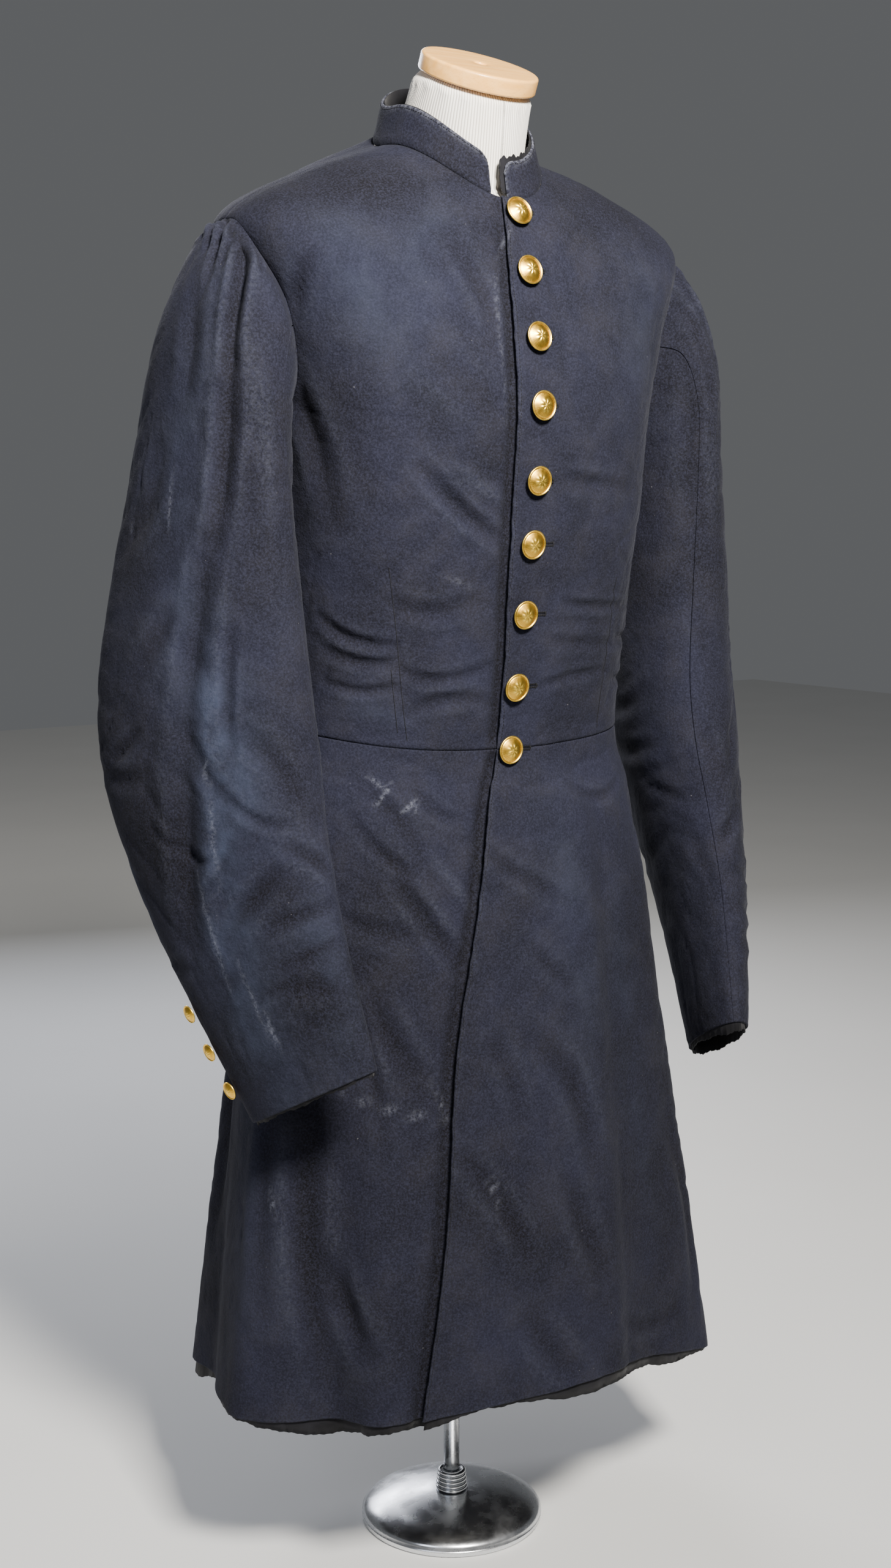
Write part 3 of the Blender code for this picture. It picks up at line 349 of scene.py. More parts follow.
def mesh_piece(name, vertices, faces, wear=None, uv=None):
    """Smooth object from arrays; wear is a colour per point (fade, stain, rub, with painted shade and
    highlight mixed in), uv a pair per point.
    """
    mesh = bpy.data.meshes.new(name)
    mesh.from_pydata(vertices.tolist(), [], [face for group in faces for face in group.tolist()])
    mesh.polygons.foreach_set("use_smooth", np.ones(len(mesh.polygons), bool))
    if wear is not None:
        layer = mesh.color_attributes.new("wear", "FLOAT_COLOR", "POINT")
        layer.data.foreach_set("color", np.column_stack((wear, np.ones(len(wear)))).ravel())
    if uv is not None:
        corner = np.empty(len(mesh.loops), int)
        mesh.loops.foreach_get("vertex_index", corner)
        mesh.uv_layers.new(name="cloth").data.foreach_set("uv", uv[corner].ravel())
    mesh.validate()
    piece = bpy.data.objects.new(name, mesh)
    bpy.context.scene.collection.objects.link(piece)
    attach(piece, "root")
    return piece


def dress(piece, finish, slot, *nodes):
    """Give a piece its finish and hide the measured solids that it takes the place of. The slot is not used.
    """
    piece.data.materials.append(finish)
    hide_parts(*nodes)


def shell(name, face, back, wear=None, around=False):
    """Closed wall between a face grid and a back grid, with rims; around joins last column to first."""
    rows, columns = face.shape[:2]
    ahead = np.arange(rows * columns).reshape(rows, columns)
    if around:
        ahead = np.hstack((ahead, ahead[:, :1]))
    behind = ahead + rows * columns

    def patch(a, b):
        return np.stack((a[:-1], a[1:], b[1:], b[:-1]), axis=-1)

    parts = [np.stack((g[:-1, :-1], g[:-1, 1:], g[1:, 1:], g[1:, :-1]), axis=-1).reshape(-1, 4)[:, ::turn]
             for g, turn in ((ahead, 1), (behind, -1))]
    parts += [patch(behind[0], ahead[0]), patch(ahead[-1], behind[-1])]
    if not around:
        parts += [patch(ahead[:, 0], behind[:, 0]), patch(behind[:, -1], ahead[:, -1])]
    vertices = np.vstack((face.reshape(-1, 3), back.reshape(-1, 3)))
    faces = outward(vertices, np.vstack(parts))
    if wear is not None:
        wear = np.vstack((wear.reshape(-1, 3),) * 2)
    return mesh_piece(name, vertices, [faces], wear)


def cut_size(face):
    """Flat width, length and area of a grid: its longest row and column, and the sum of its cells."""
    a, b = np.diff(face, axis=0)[:, :-1], np.diff(face, axis=1)[:-1]
    area = np.linalg.norm(np.cross(a, b), axis=-1).sum()
    up, _, across, _ = edge_runs(face)
    width, length = across[:, -1].max(), up[-1].max()
    return (round(float(width), 3), round(float(length), 3)), round(float(area), 4)


def declare_cloth(piece, face):
    flat, area = cut_size(face)
    area = min(max(area, 0.301 * flat[0] * flat[1]), flat[0] * flat[1])
    across, along = (1000 * side for side in flat)
    print("%-20s cut %4.0f x %4.0f mm, %.3f square metres" % (piece.name, across, along, area))


# %% [markdown]
# ## Materials
# Each finish starts from what the real thing is. One function adds a node with its settings and links,
# and one turns a colour as it is written for screens into the linear light that a shader works in.

# %% Node and colour helpers
def linear(code):
    """Screen colour to linear: each channel over 255, then the standard curve undone."""
    channels = np.array([int(code[i:i + 2], 16) for i in (0, 2, 4)]) / 255
    return (*np.where(channels <= 0.04045, channels / 12.92, ((channels + 0.055) / 1.055) ** 2.4), 1.0)


def node(tree, kind, links=(), **settings):
    """Add a node; settings name its properties or, with an underscore first, its sockets by number."""
    made = tree.nodes.new(kind)
    for key, value in settings.items():
        if key[0] == "_":
            made.inputs[int(key[1:])].default_value = value
        else:
            setattr(made, key, value)
    for socket, source in dict(links).items():
        tree.links.new(source, made.inputs[socket])
    return made


def new_material(name, **constants):
    """Principled material with constants set straight on the shader's own sockets."""
    made = bpy.data.materials.new(name)
    made.use_nodes = True
    shader = made.node_tree.nodes["Principled BSDF"]
    for key, value in constants.items():
        shader.inputs[key.replace("_", " ")].default_value = value
    return made, made.node_tree, shader


def mixed(tree, factor, a, b, blend="MIX"):
    """Colour a turned to b by the factor; a and b are colours or sockets."""
    made = node(tree, "ShaderNodeMix", data_type="RGBA", blend_type=blend)
    for socket, value in ((0, factor), (6, a), (7, b)):
        if isinstance(value, bpy.types.NodeSocket):
            tree.links.new(value, made.inputs[socket])
        else:
            made.inputs[socket].default_value = value
    return made.outputs[2]


def levels(tree, source, low, high, to_low=0.0, to_high=1.0):
    """Socket stretched from low..high to to_low..to_high, and held within them."""
    return node(tree, "ShaderNodeMapRange", {0: source}, _1=low, _2=high, _3=to_low, _4=to_high).outputs[0]


def noise(tree, place, scale, detail=2.0, rough=0.5):
    """Noise of a scale in cells per metre at a place."""
    return node(tree, "ShaderNodeTexNoise", {"Vector": place}, _2=scale, _3=detail, _4=rough).outputs[0]


# %% [markdown]
# **Broadcloth** is a woollen cloth, woven wide, shrunk until the weave closes and brushed to a short nap.
# It looks matt and deep, with a soft bloom at grazing angles, and it rubs paler on its edges. Its
# threads are 0.4 mm apart and hidden, so only a nap of 1 to 2 mm and faint weft lines are drawn, which is
# as coarse as they must be to show. The wear colour (fade, stain, rub) was painted on by the strokes;
# it also holds painted shade in the fold troughs, beside the lapped edge and in some dark patches, and
# a painted highlight on the fold ridges.

# %% Broadcloth
def broadcloth():
    """Navy by large and small noise, then faded, stained and rubbed, with painted shade and highlight from
    the wear colour; nap and cockle as bump.
    """
    made, tree, shader = new_material("navy_broadcloth", Roughness=0.9, Specular_IOR_Level=0.12,
                                      Sheen_Weight=0.06, Sheen_Roughness=0.4, Sheen_Tint=linear("9a9dab"))
    place = node(tree, "ShaderNodeTexCoord").outputs["Object"]
    wear = node(tree, "ShaderNodeAttribute", attribute_name="wear").outputs["Color"]
    fade, stain_and_painted_shade, rub = node(tree, "ShaderNodeSeparateColor", {0: wear}).outputs[:3]
    broad = noise(tree, place, 9.0, 4.0, 0.6)
    patch = noise(tree, place, 26.0, 5.0, 0.62)
    nap = noise(tree, place, 620.0, 3.0, 0.7)
    speck = noise(tree, place, 420.0, 1.0, 0.4)
    colour = mixed(tree, levels(tree, broad, 0.36, 0.64), linear("111117"), linear("1b1c28"))
    colour = mixed(tree, levels(tree, patch, 0.46, 0.66, 0.0, 0.4), colour, linear("27262b"))
    cloudy = levels(tree, patch, 0.35, 0.6, 0.15, 1.0)
    # the fade colour also carries a painted highlight on the fold ridges
    colour = mixed(tree, node(tree, "ShaderNodeMath", {0: fade, 1: cloudy}, operation="MULTIPLY").outputs[0],
                   colour, linear("2f3647"))
    # the stain colour also carries painted shade: fold troughs, beside the lapped edge and some dark patches
    colour = mixed(tree, stain_and_painted_shade, colour, linear("0c0b0e"))
    colour = mixed(tree, levels(tree, nap, 0.40, 0.75, 0.0, 0.45), colour, linear("343648"))
    worn = levels(tree, noise(tree, place, 320.0, 3.0, 0.7), 0.4, 0.62)
    # the rub colour also carries a faint painted highlight on the fold ridges
    colour = mixed(tree, node(tree, "ShaderNodeMath", {0: rub, 1: worn}, operation="MULTIPLY").outputs[0],
                   colour, linear("7c7f8c"))
    colour = mixed(tree, levels(tree, speck, 0.83, 0.86, 0.0, 0.4), colour, linear("8f8d8c"))
    tree.links.new(colour, shader.inputs["Base Color"])
    weft = node(tree, "ShaderNodeMapping", {0: place}, _3=(260.0, 260.0, 1900.0)).outputs[0]
    lines = noise(tree, weft, 1.0, 1.0)
    fuzz = node(tree, "ShaderNodeBump", {"Height": nap}, _0=0.8, _1=0.0005).outputs[0]
    fine = node(tree, "ShaderNodeBump", {"Height": lines, "Normal": fuzz}, _0=0.3, _1=0.0002).outputs[0]
    soft = node(tree, "ShaderNodeBump", {"Height": patch, "Normal": fine}, _0=0.6, _1=0.005).outputs[0]
    tree.links.new(soft, shader.inputs["Normal"])
    return made


BROADCLOTH = broadcloth()
print("made", BROADCLOTH.name)

# %% [markdown]
# **Lining** is black cotton with a dull polish, frayed where it shows. **Thread** is waxed black silk.

# %% Lining and thread
def lining_cloth(name, dark, pale, roughness):
    """Near black by fine noise, with a low twill bump of about a millimetre."""
    made, tree, shader = new_material(name, Roughness=roughness, Specular_IOR_Level=0.15, Sheen_Weight=0.05)
    place = node(tree, "ShaderNodeTexCoord").outputs["Object"]
    thread = noise(tree, place, 900.0, 2.0, 0.6)
    old = noise(tree, place, 40.0, 3.0)
    colour = mixed(tree, levels(tree, old, 0.4, 0.7), linear(dark), linear(pale))
    tree.links.new(colour, shader.inputs["Base Color"])
    bump = node(tree, "ShaderNodeBump", {"Height": thread}, _0=0.5, _1=0.0003).outputs[0]
    tree.links.new(bump, shader.inputs["Normal"])
    return made


BLACK_LINING = lining_cloth("black_cotton_lining", "0e0e11", "1b1b20", 0.8)
BLACK_THREAD = lining_cloth("black_silk_thread", "08080a", "141419", 0.7)

# %% [markdown]
# ## Fronts, sides and backs
# A maker cuts two fronts, two side bodies and two backs. Each panel lists the turns of its columns at the
# levels of its rows. The rows crowd at the bottom and top of the armhole, where its curve is steep.

# %% Rows and strokes for the body
def armhole_rows(first, last, step):
    """Levels of the armhole between two of its angles."""
    return armhole(np.arange(first, last + 0.01, step))[1]


# turn and level of start, middle and end, then width in mm and amount from 0 to 1
BODY_FADES = ((-52, 10.9, -44, 9.6, -40, 8.4, 34, .30), (-30, 11.2, -26, 10.4, -22, 9.6, 20, .25),
              (30, 10.4, 34, 9.2, 30, 8.0, 30, .22), (-60, 5.3, -45, 5.3, -30, 5.2, 10, .2))
# the first row darkens the body below the right armhole: a painted shadow of the sleeve
BODY_STAINS_AND_SHADE = ((-60, 8.6, -62, 7.4, -52, 6.3, 26, .55), (-74, 10.3, -58, 10.9, -44, 11.6, 40, .9),
               (70, 10.3, 56, 10.9, 42, 11.6, 40, .7), (-36, 6.2, -30, 5.7, -20, 5.4, 18, .4),
               (-16, 9.2, -12, 8.0, -10, 7.0, 12, .4), (44, 7.4, 50, 6.4, 52, 5.6, 20, .35))
BODY_RUBS = ((-24, 6.4, -19, 6.36, -14, 6.3, 2.0, .16),
             (-3.6, 11.4, -6.6, 9.6, -7.2, 7.8, 1.0, .22))


def wear_of(points, place, fades, stains, rubs, runs=()):
    """Fade, stain and rub at every point, held between 0 and 1; some stain rows are painted shade. Free edges
    are rubbed paler.
    """
    rub = strokes(points, place, rubs)
    for run in runs:
        rub = rub + 0.05 * np.exp(-run / 0.0016)
    return np.clip(np.stack((strokes(points, place, fades), strokes(points, place, stains), rub), -1), 0, 1)


def creased(wear, fold):
    """Wear with painted shade darkening the troughs of the folds and a painted highlight paling their ridges.
    """
    # painted shade in the fold troughs, painted highlight on the fold ridges
    darkening, painted_highlight = np.clip(-fold / 0.004, 0, 1), np.clip(fold / 0.0016, 0, 1)
    return np.clip(wear + np.stack((0.12 * painted_highlight, 0.55 * darkening, 0.05 * painted_highlight), -1), 0, 1)


def button_dimples(points):
    """Half a millimetre sunk round each front button, a bell 14 mm wide."""
    runs = (np.linalg.norm(points - seat, axis=-1) for seat in BUTTON_SEATS)
    return sum(-0.0005 * np.exp(-(run / 0.014) ** 2) for run in runs)


BUTTON_LEVELS = (11.50, 10.12, 8.99, 8.05, 7.27, 6.68, 6.08, 5.53, 5.00)
BUTTON_TURNS = [turn_at(np.array(level), np.array(-0.0035)) for level in BUTTON_LEVELS]
BUTTON_SEATS = [coat_point(turn, level, lap_lift(0.0, level - 0.1))
                for turn, level in zip(BUTTON_TURNS, BUTTON_LEVELS)]


def lay_panel(name, turn, level, side, free=(), creases=BODY_CREASES, worn=None, lapped=False):
    """Panel on the surface: folds move face and back alike, and the face rounds down at its edges."""
    turn, level = np.broadcast_arrays(turn, level)
    if side < 0:
        turn, level = turn[:, ::-1], level[:, ::-1]
    base = coat_point(turn, level)
    runs = edge_runs(base)
    crease = FOLD_DEPTH * strokes(base, coat_point, creases, FOLD_RIDGE)
    fold = crease + cockle(base) + rumple(base, SKIRT_RUMPLE if "skirt" in name else BODY_RUMPLE, side)
    if "back" not in name:
        fold = fold + DART_DEPTH * strokes(base, coat_point, DARTS) + button_dimples(base)
    if lapped:
        fold = fold + edge_puckers(base, runs[2]) + 0.0010 * np.exp(-((runs[2] - 0.0035) / 0.0028) ** 2)
    elif name in ("front_right", "skirt_right"):
        fold = fold + beside_the_lap(base, level)
    for number, run in enumerate(runs):
        if number not in free:
            fold = fold * (1 - np.exp(-(run / 0.006) ** 2))
    lift = fold + (lap_lift(base[..., 0], level) if lapped else 0.0)
    face = coat_point(turn, level, lift - sum(rounded(run) for run in runs))
    back = coat_point(turn, level, lift - CLOTH)
    wear = wear_of(base, coat_point, *(worn or (BODY_FADES, BODY_STAINS_AND_SHADE, BODY_RUBS)),
                   [runs[i] for i in free])
    # painted shadow of the lapped edge: the under front is darkened along the trough beside it
    if name in ("front_right", "skirt_right"):
        wear[..., 1] += np.clip(-beside_the_lap(base, level) / 0.0034, 0, 1)
    piece = shell("wool_" + name, face, back, creased(wear, crease))
    dress(piece, BROADCLOTH, "navy_broadcloth", name)
    declare_cloth(piece, base)
    return face


def beside_the_lap(points, level):
    """Trough in the under front, a bell 12 mm wide and 2 mm outside the edge that laps over it.

    It is shallower near the neck.
    """
    edge = smooth_between(FRONT_EDGES[:, 0], FRONT_EDGES[:, 1], level)
    depth = np.interp(level, (10.4, 11.2), (0.0040, 0.0018))
    return -depth * np.exp(-((points[..., 0] - edge + 0.002) / 0.006) ** 2) * (points[..., 1] < 0)


PUCKER_GAPS = (24, 27, 21, 16, 17, 14, 19, 16, 13, 19, 22, 15, 17, 23, 14, 18)


def edge_puckers(points, run):
    """Short ridges square to a stitched edge, at uneven heights, gone 16 mm in, leaning down."""
    heights = 0.15 + np.cumsum(np.tile(PUCKER_GAPS, 4)) * 0.001
    total = 0.0
    for number, height in enumerate(heights[heights < 1.12]):
        strength = 0.0004 + 0.00014 * (number * 7 % 5)
        away = (points[..., 2] - height + 0.35 * run) / 0.0042
        total = total + strength * np.exp(-away**2) * np.exp(-(run / 0.013) ** 2)
    return total


# %% Fronts
def front_panel(side):
    """Columns from the front edge to the side seam, armhole or shoulder seam."""
    level = np.concatenate((np.linspace(WAIST, UNDERARM, 106)[:-1], armhole_rows(0, 180, 6.0),
                            np.linspace(SHOULDER, NECK, 34)[1:]))[:, None]
    edge = front_edge(level, side) * side
    reach = SIDE_TURN - armhole_reach(level, ARMHOLE_FRONT) - edge
    turn = side * (edge + reach * crowded(108, 0.22)[None])
    name = "front_left" if side > 0 else "front_right"
    return lay_panel(name, turn, level, side, free=(2,) if side > 0 else (3,), lapped=side > 0)


FRONT_LEFT, FRONT_RIGHT = front_panel(1), front_panel(-1)

# %% Sides and backs
def side_panel(side):
    """Columns from the side seam to the side back seam, top row on the armhole."""
    across, up = crowded(34, 0.13)[None], crowded(62, 0.30)[:, None]
    spread, top = armhole(BACK_SEAM_ON_ARMHOLE * across)
    foot = SIDE_TURN + (BACK_SEAM_WAIST - SIDE_TURN) * across
    level = WAIST + (top - WAIST) * up
    turn = foot + (SIDE_TURN + spread - foot) * up + BACK_SEAM_BOW * np.sin(np.pi * up) * across
    turn = turn + (back_outer_turn(level[:, -1]) - turn[:, -1])[:, None] * across
    return lay_panel("side_left" if side > 0 else "side_right", side * turn, level, side)


def back_panel(side):
    """Columns from the side back seam to the centre back, cut in one from neck to hem."""
    top = armhole(BACK_SEAM_ON_ARMHOLE)[1]
    level = np.concatenate((np.linspace(HEM, WAIST, 70)[:-1], np.linspace(WAIST, top, 46)[:-1],
                            armhole_rows(BACK_SEAM_ON_ARMHOLE, 180, 4.5),
                            np.linspace(SHOULDER, NECK, 26)[1:]))[:, None]
    outer = back_outer_turn(level)
    centre = 180.0 - 0.4 * np.clip((WAIST - level) / WAIST, 0, 1)
    turn = side * (outer + (centre - outer) * crowded(50, 0.12)[None])
    name = "back_left" if side > 0 else "back_right"
    return lay_panel(name, turn, level, side, creases=BODY_CREASES + SKIRT_CREASES)


for hand in (-1, 1):
    side_panel(hand)
    back_panel(hand)

# %% [markdown]
# ## Skirts and their lining
# Each front skirt hangs from the waist seam to the hem and wraps round to the back pleat. The black
# lining has dropped a little and shows as a frayed, wavy strip under the hem.

# %% Skirts
SKIRT_FADES = ((-100, 4.6, -88, 2.6, -86, .6, 30, .4), (8, 3.9, 12, 2.8, 12, 1.6, 22, .25),
               (32, 3.0, 30, 1.8, 34, .8, 18, .3))
# the last two rows, 70 mm wide, darken the fronts of the skirts: painted shade
SKIRT_STAINS_AND_SHADE = ((-58, 2.2, -62, 1.4, -54, .2, 30, .6), (-12, 1.5, -6, .9, -2, .2, 22, .5),
                (-42, 4.2, -36, 3.4, -28, 2.8, 20, .35), (52, 2.6, 56, 1.4, 50, .4, 24, .4),
                (-38, 4.0, -36, 2.2, -38, .3, 70, .4), (24, 2.6, 26, 1.4, 24, .2, 70, .5))
SKIRT_RUBS = ((-47, 4.56, -42, 4.44, -38, 4.34, 1.3, .5), (-44, 4.1, -41, 4.2, -37.5, 4.5, 1.2, .4),
              (-33.5, 4.02, -31, 4.1, -29, 4.2, 1.4, .6), (-29, 4.0, -28, 4.16, -28.4, 4.3, 1.0, .4),
              (-14, 1.3, -12.4, 1.24, -11.6, 1.12, 1.3, .4), (-76, 1.3, -75, 1.2, -74, 1.16, 1.5, .4),
              (-55, 1.82, -38, 1.72, -24, 1.64, 1.6, .3), (-30, 1.9, -26, 1.8, -23, 1.62, 1.4, .25))


def skirt_turns(side, level, across):
    """Turns from the skirt's front edge round to the back pleat."""
    edge = front_edge(level, side) * side
    return side * (edge + (back_outer_turn(level - 0.001) - edge) * across)


def skirt_panel(side):
    """Rows from hem to waist seam."""
    level = (HEM + (WAIST - HEM) * crowded(122, 0.53))[:, None]
    name = "skirt_left" if side > 0 else "skirt_right"
    return lay_panel(name, skirt_turns(side, level, crowded(142, 0.55)[None]), level, side,
                     free=(0, 2) if side > 0 else (0, 3), creases=SKIRT_CREASES,
                     worn=(SKIRT_FADES, SKIRT_STAINS_AND_SHADE, SKIRT_RUBS), lapped=side > 0)


SKIRT_LEFT, SKIRT_RIGHT = skirt_panel(1), skirt_panel(-1)


def skirt_lining(side):
    """Thin strip inside the hem; its lower edge sags by two slow waves and a fine fray."""
    level = np.linspace(HEM, WAIST / 11, 10)[:, None]
    turn = np.broadcast_to(skirt_turns(side, level, np.linspace(0.002, 0.985, 260)[None]), (10, 260))
    base = coat_point(turn, level)
    lift = lap_lift(base[..., 0], level) if side > 0 else beside_the_lap(base, level)
    lift = lift + FOLD_DEPTH * strokes(base, coat_point, SKIRT_CREASES, FOLD_RIDGE)
    lift = lift + rumple(base, SKIRT_RUMPLE, side)
    face = coat_point(turn, level, lift - CLOTH - 0.0008)
    wave = np.radians(turn[0])
    sag = 0.007 + 0.004 * np.sin(5 * wave) + 0.002 * np.sin(11 * wave + 0.7) + 0.0008 * np.sin(23 * wave)
    sag = sag + 0.0004 * np.sin(57 * wave + 1.3) + 0.0003 * np.sin(171 * wave)
    drop = np.clip(1 - level / 0.15, 0, 1) ** 0.7
    face[..., 2] -= drop * sag
    ripple = unit(face * (1, 1, 0)) * (0.0005 * np.sin(47 * wave) * drop)[..., None]
    face = face + ripple
    back = face - unit(face * (1, 1, 0)) * 0.0006
    name = "skirt_lining_left" if side > 0 else "skirt_lining_right"
    piece = shell("black_" + name, face, back)
    dress(piece, BLACK_LINING, "black_lining", name)
    declare_cloth(piece, face)


skirt_lining(-1)
skirt_lining(1)

# %% [markdown]
# ## Sleeves
# A coat sleeve is two pieces, a wide top sleeve and a narrow under sleeve, seamed at the back and the
# front of the arm. The head is fuller than the armhole and is eased into it, which leaves short gathers
# and one long trough down the arm.

# %% Sleeve surface
SLEEVE_RINGS = np.array((  # x and z of the inner and outer side, y, half breadth, turn, tip
    (.170, .957, .227, 1.081, -.004, .064, 2, 0), (.1735, .946, .255, 1.012, -.002, .074, 4, 0),
    (.1775, .913, .265, .929, .002, .081, 8, 0), (.179, .828, .277, .832, .004, .089, 15, 0),
    (.186, .745, .282, .745, -.001, .096, 23, 2), (.189, .680, .281, .680, -.013, .097, 25, 8),
    (.193, .615, .270, .615, -.036, .089, 25, 18), (.193, .538, .252, .538, -.070, .077, 25, 26),
    (.185, .440, .223, .440, -.111, .062, 25, 27)))
CUFF, BACK_SEAM, FRONT_SEAM = float(len(SLEEVE_RINGS)), 8.0, 190.0


def armhole_ring(angle, side, wider=1.0, deeper=0.0):
    """Armhole at the sleeve's angles, made wider by a factor and sunk, as if for the left side."""
    spread, level = armhole(angle + 90.0)
    level = 9.0 + (level - 9.0) * wider
    return coat_point(side * (SIDE_TURN + spread * wider), level, -SEAM_GAP - deeper) * (side, 1, 1)


def sleeve_sections(angle, side):
    """Armhole, then an ellipse for each row of the table, at these angles (0 back, 90 out, 180 front)."""
    start = armhole_ring(angle, side)
    x_in, z_in, x_out, z_out, y, broad, turn, tip = SLEEVE_RINGS.T
    turn, tip = np.radians(turn), np.radians(tip)
    middle = np.stack(((x_in + x_out) / 2, y, (z_in + z_out) / 2), -1)
    back_way = np.stack((np.sin(turn) * np.cos(tip), np.cos(turn) * np.cos(tip), -np.sin(tip)), -1)
    back_way = broad[:, None] * back_way
    half = (x_out - x_in) / 2
    out_way = np.stack((half, -half * np.tan(turn), (z_out - z_in) / 2), -1)
    cosine, sine = np.cos(np.radians(angle))[:, None], np.sin(np.radians(angle))[:, None]
    return np.vstack((start[None], middle[:, None] + back_way[:, None] * cosine + out_way[:, None] * sine))


def sleeve_grid(angle, along, side, out=0.0):
    """Rows along the arm by columns round it: curves through the sections, plus out times the normal."""
    drop = 0.016 if side > 0 else 0.0

    def bare(angle, along):
        points = smooth_between(np.arange(CUFF + 1), sleeve_sections(angle, side), along)
        points[..., 2] -= (drop * along / CUFF)[:, None]
        return points

    around = bare(angle + 1, along) - bare(angle - 1, along)
    down = bare(angle, np.clip(along + 0.02, 0, CUFF)) - bare(angle, np.clip(along - 0.02, 0, CUFF))
    points = bare(angle, along) + unit(np.cross(around, down)) * np.asarray(out)[..., None]
    return points * (side, 1, 1)


def sleeve_places(side):
    """Function that gives the sleeve's points at single pairs of angle and place along the arm."""
    def places(angle, along):
        every = np.arange(len(angle))
        return sleeve_grid(angle, np.clip(along, 0, CUFF), side)[every, every]

    return places


# %% Sleeve strokes
# angle and place along of start, middle and end, then width and depth in mm
HEAD_GATHERS = (
    (68, 0, 70, .35, 73, .8, 4, -3.5), (80, 0, 86, .5, 97, 1.2, 4.5, -4.2),
    (92, 0, 101, .6, 108, 1.5, 4.5, -4.4),
    (104, 0, 112, .6, 118, 1.3, 4.5, -4.2), (118, 0, 133, 1.38, 139, 2.28, 7, -8.0),
    (132, 0, 142, .5, 148, .9, 4.5, -3.5), (74, 0, 78, .3, 84, .8, 3, 1.4),
    (98, 0, 106, .45, 112, 1.0, 3, 1.4),
    (110, 0, 121, .5, 128, 1.1, 4, 1.8), (54, .03, 52, .4, 50, .9, 5, -1.6))
SLEEVE_CREASES = (
    (139, 2.2, 135, 3.06, 128, 3.72, 10, -5.0), (126, 3.75, 112, 4.5, 103, 5.34, 13, -4.0),
    (103, 5.34, 90, 6.63, 66, 7.62, 15, -4.5), (101, 1.65, 107, 2.13, 105, 2.67, 11, -2.6),
    (46, 5.82, 62, 5.64, 74, 5.46, 7, -3.2), (26, 5.88, 58, 5.97, 77, 5.91, 8, -2.2),
    (24, 7.6, 39, 7.75, 58, 7.8, 6, -2.0), (90, 7.74, 113, 7.5, 133, 7.32, 9, -4.0),
    (119, 7.77, 140, 7.77, 178, 7.8, 7, -3.2), (112, 8.13, 140, 8.1, 180, 8.13, 7, -3.0),
    (144, 7.08, 164, 7.29, 186, 7.5, 7, -3.4), (85, 8.22, 116, 8.25, 158, 8.43, 7, -3.0),
    (70, 6.5, 88, 6.9, 104, 7.0, 5, -2.6), (116, 6.3, 132, 6.7, 150, 6.8, 5, -2.6),
    (78, 7.3, 96, 7.2, 112, 6.9, 5, -2.4), (134, 4.4, 126, 5.0, 124, 5.7, 6, -2.4),
    (108, 8.55, 134, 8.55, 173, 8.67, 8, -1.8), (101, 5.49, 108, 5.94, 116, 6.42, 9, -2.2),
    (131, 5.52, 144, 5.88, 156, 6.42, 10, -2.0), (56, 3.84, 80, 3.51, 87, 3.09, 13, -2.2),
    (75, 4.89, 92, 4.5, 108, 4.26, 11, -2.0), (158, 1.86, 166, 2.79, 166, 3.6, 14, 1.6),
    (300, 2.0, 290, 3.2, 300, 4.6, 13, -3.0), (230, 5.2, 260, 5.5, 300, 5.3, 9, -3.0),
    (220, 5.9, 255, 6.1, 310, 5.9, 9, -3.2), (240, 7.2, 280, 7.4, 330, 7.2, 8, -2.6),
    (200, 6.9, 225, 6.8, 250, 6.5, 7, -2.4), (330, 6.4, 345, 6.2, 358, 6.0, 7, -2.2))
LEFT_SLEEVE_CREASES = (
    (183, .87, 200, 2.4, 188, 3.57, 10, -3.0), (186, 5.7, 177, 6.09, 169, 6.69, 8, -2.4),
    (214, 7.47, 206, 7.74, 187, 7.89, 7, -2.4), (185, 4.23, 177, 4.59, 170, 4.92, 9, -2.2),
    (160, .2, 168, 1.2, 172, 2.2, 6, -2.4), (150, 7.0, 168, 7.3, 186, 7.3, 7, -2.2))
SLEEVE_FADES = ((112, 4.2, 112, 6.2, 88, 8.9, 20, .75), (128, 4.6, 130, 6.0, 128, 7.0, 20, .4),
                (96, 6.8, 84, 7.8, 70, 8.9, 18, .5), (20, 6.4, 22, 7.0, 24, 7.6, 9, .9),
                (120, 1.5, 104, 3.2, 104, 4.2, 24, .3), (150, 7.6, 146, 8.2, 140, 8.9, 24, .45))
# the last two rows darken the front and the lower part of the sleeve: painted shade
SLEEVE_STAINS_AND_SHADE = ((60, 5.9, 66, 6.6, 70, 7.3, 20, .8), (86, 5.6, 80, 6.4, 76, 7.2, 14, .6),
                 (150, 5.4, 158, 6.2, 160, 7.0, 20, .6), (120, 7.6, 140, 7.5, 160, 7.4, 14, .5),
                 (110, 8.3, 130, 8.4, 160, 8.5, 14, .4), (84, 3.6, 80, 4.2, 74, 4.9, 20, .35),
                 (150, .6, 158, 3.0, 160, 5.4, 32, .55), (126, 7.2, 132, 8.2, 136, 9.0, 34, .5))
SLEEVE_RUBS = ((112, 5.8, 108, 5.95, 110, 6.12, 1.2, .5), (109, 6.3, 104, 6.8, 98, 7.3, 1.4, .25),
               (14, 6.1, 12, 6.9, 11, 7.6, 1.6, .35), (96, 8.35, 94, 8.5, 95, 8.62, 2.0, .4),
               (88, 7.0, 84, 7.6, 78, 8.1, 1.6, .3), (100, 3.2, 98, 3.5, 99, 3.7, 1.2, .25),
               (66, 3.6, 64, 3.62, 62, 3.66, 1.4, .3), (92, 7.9, 91, 8.2, 90, 8.5, 1.3, .3))

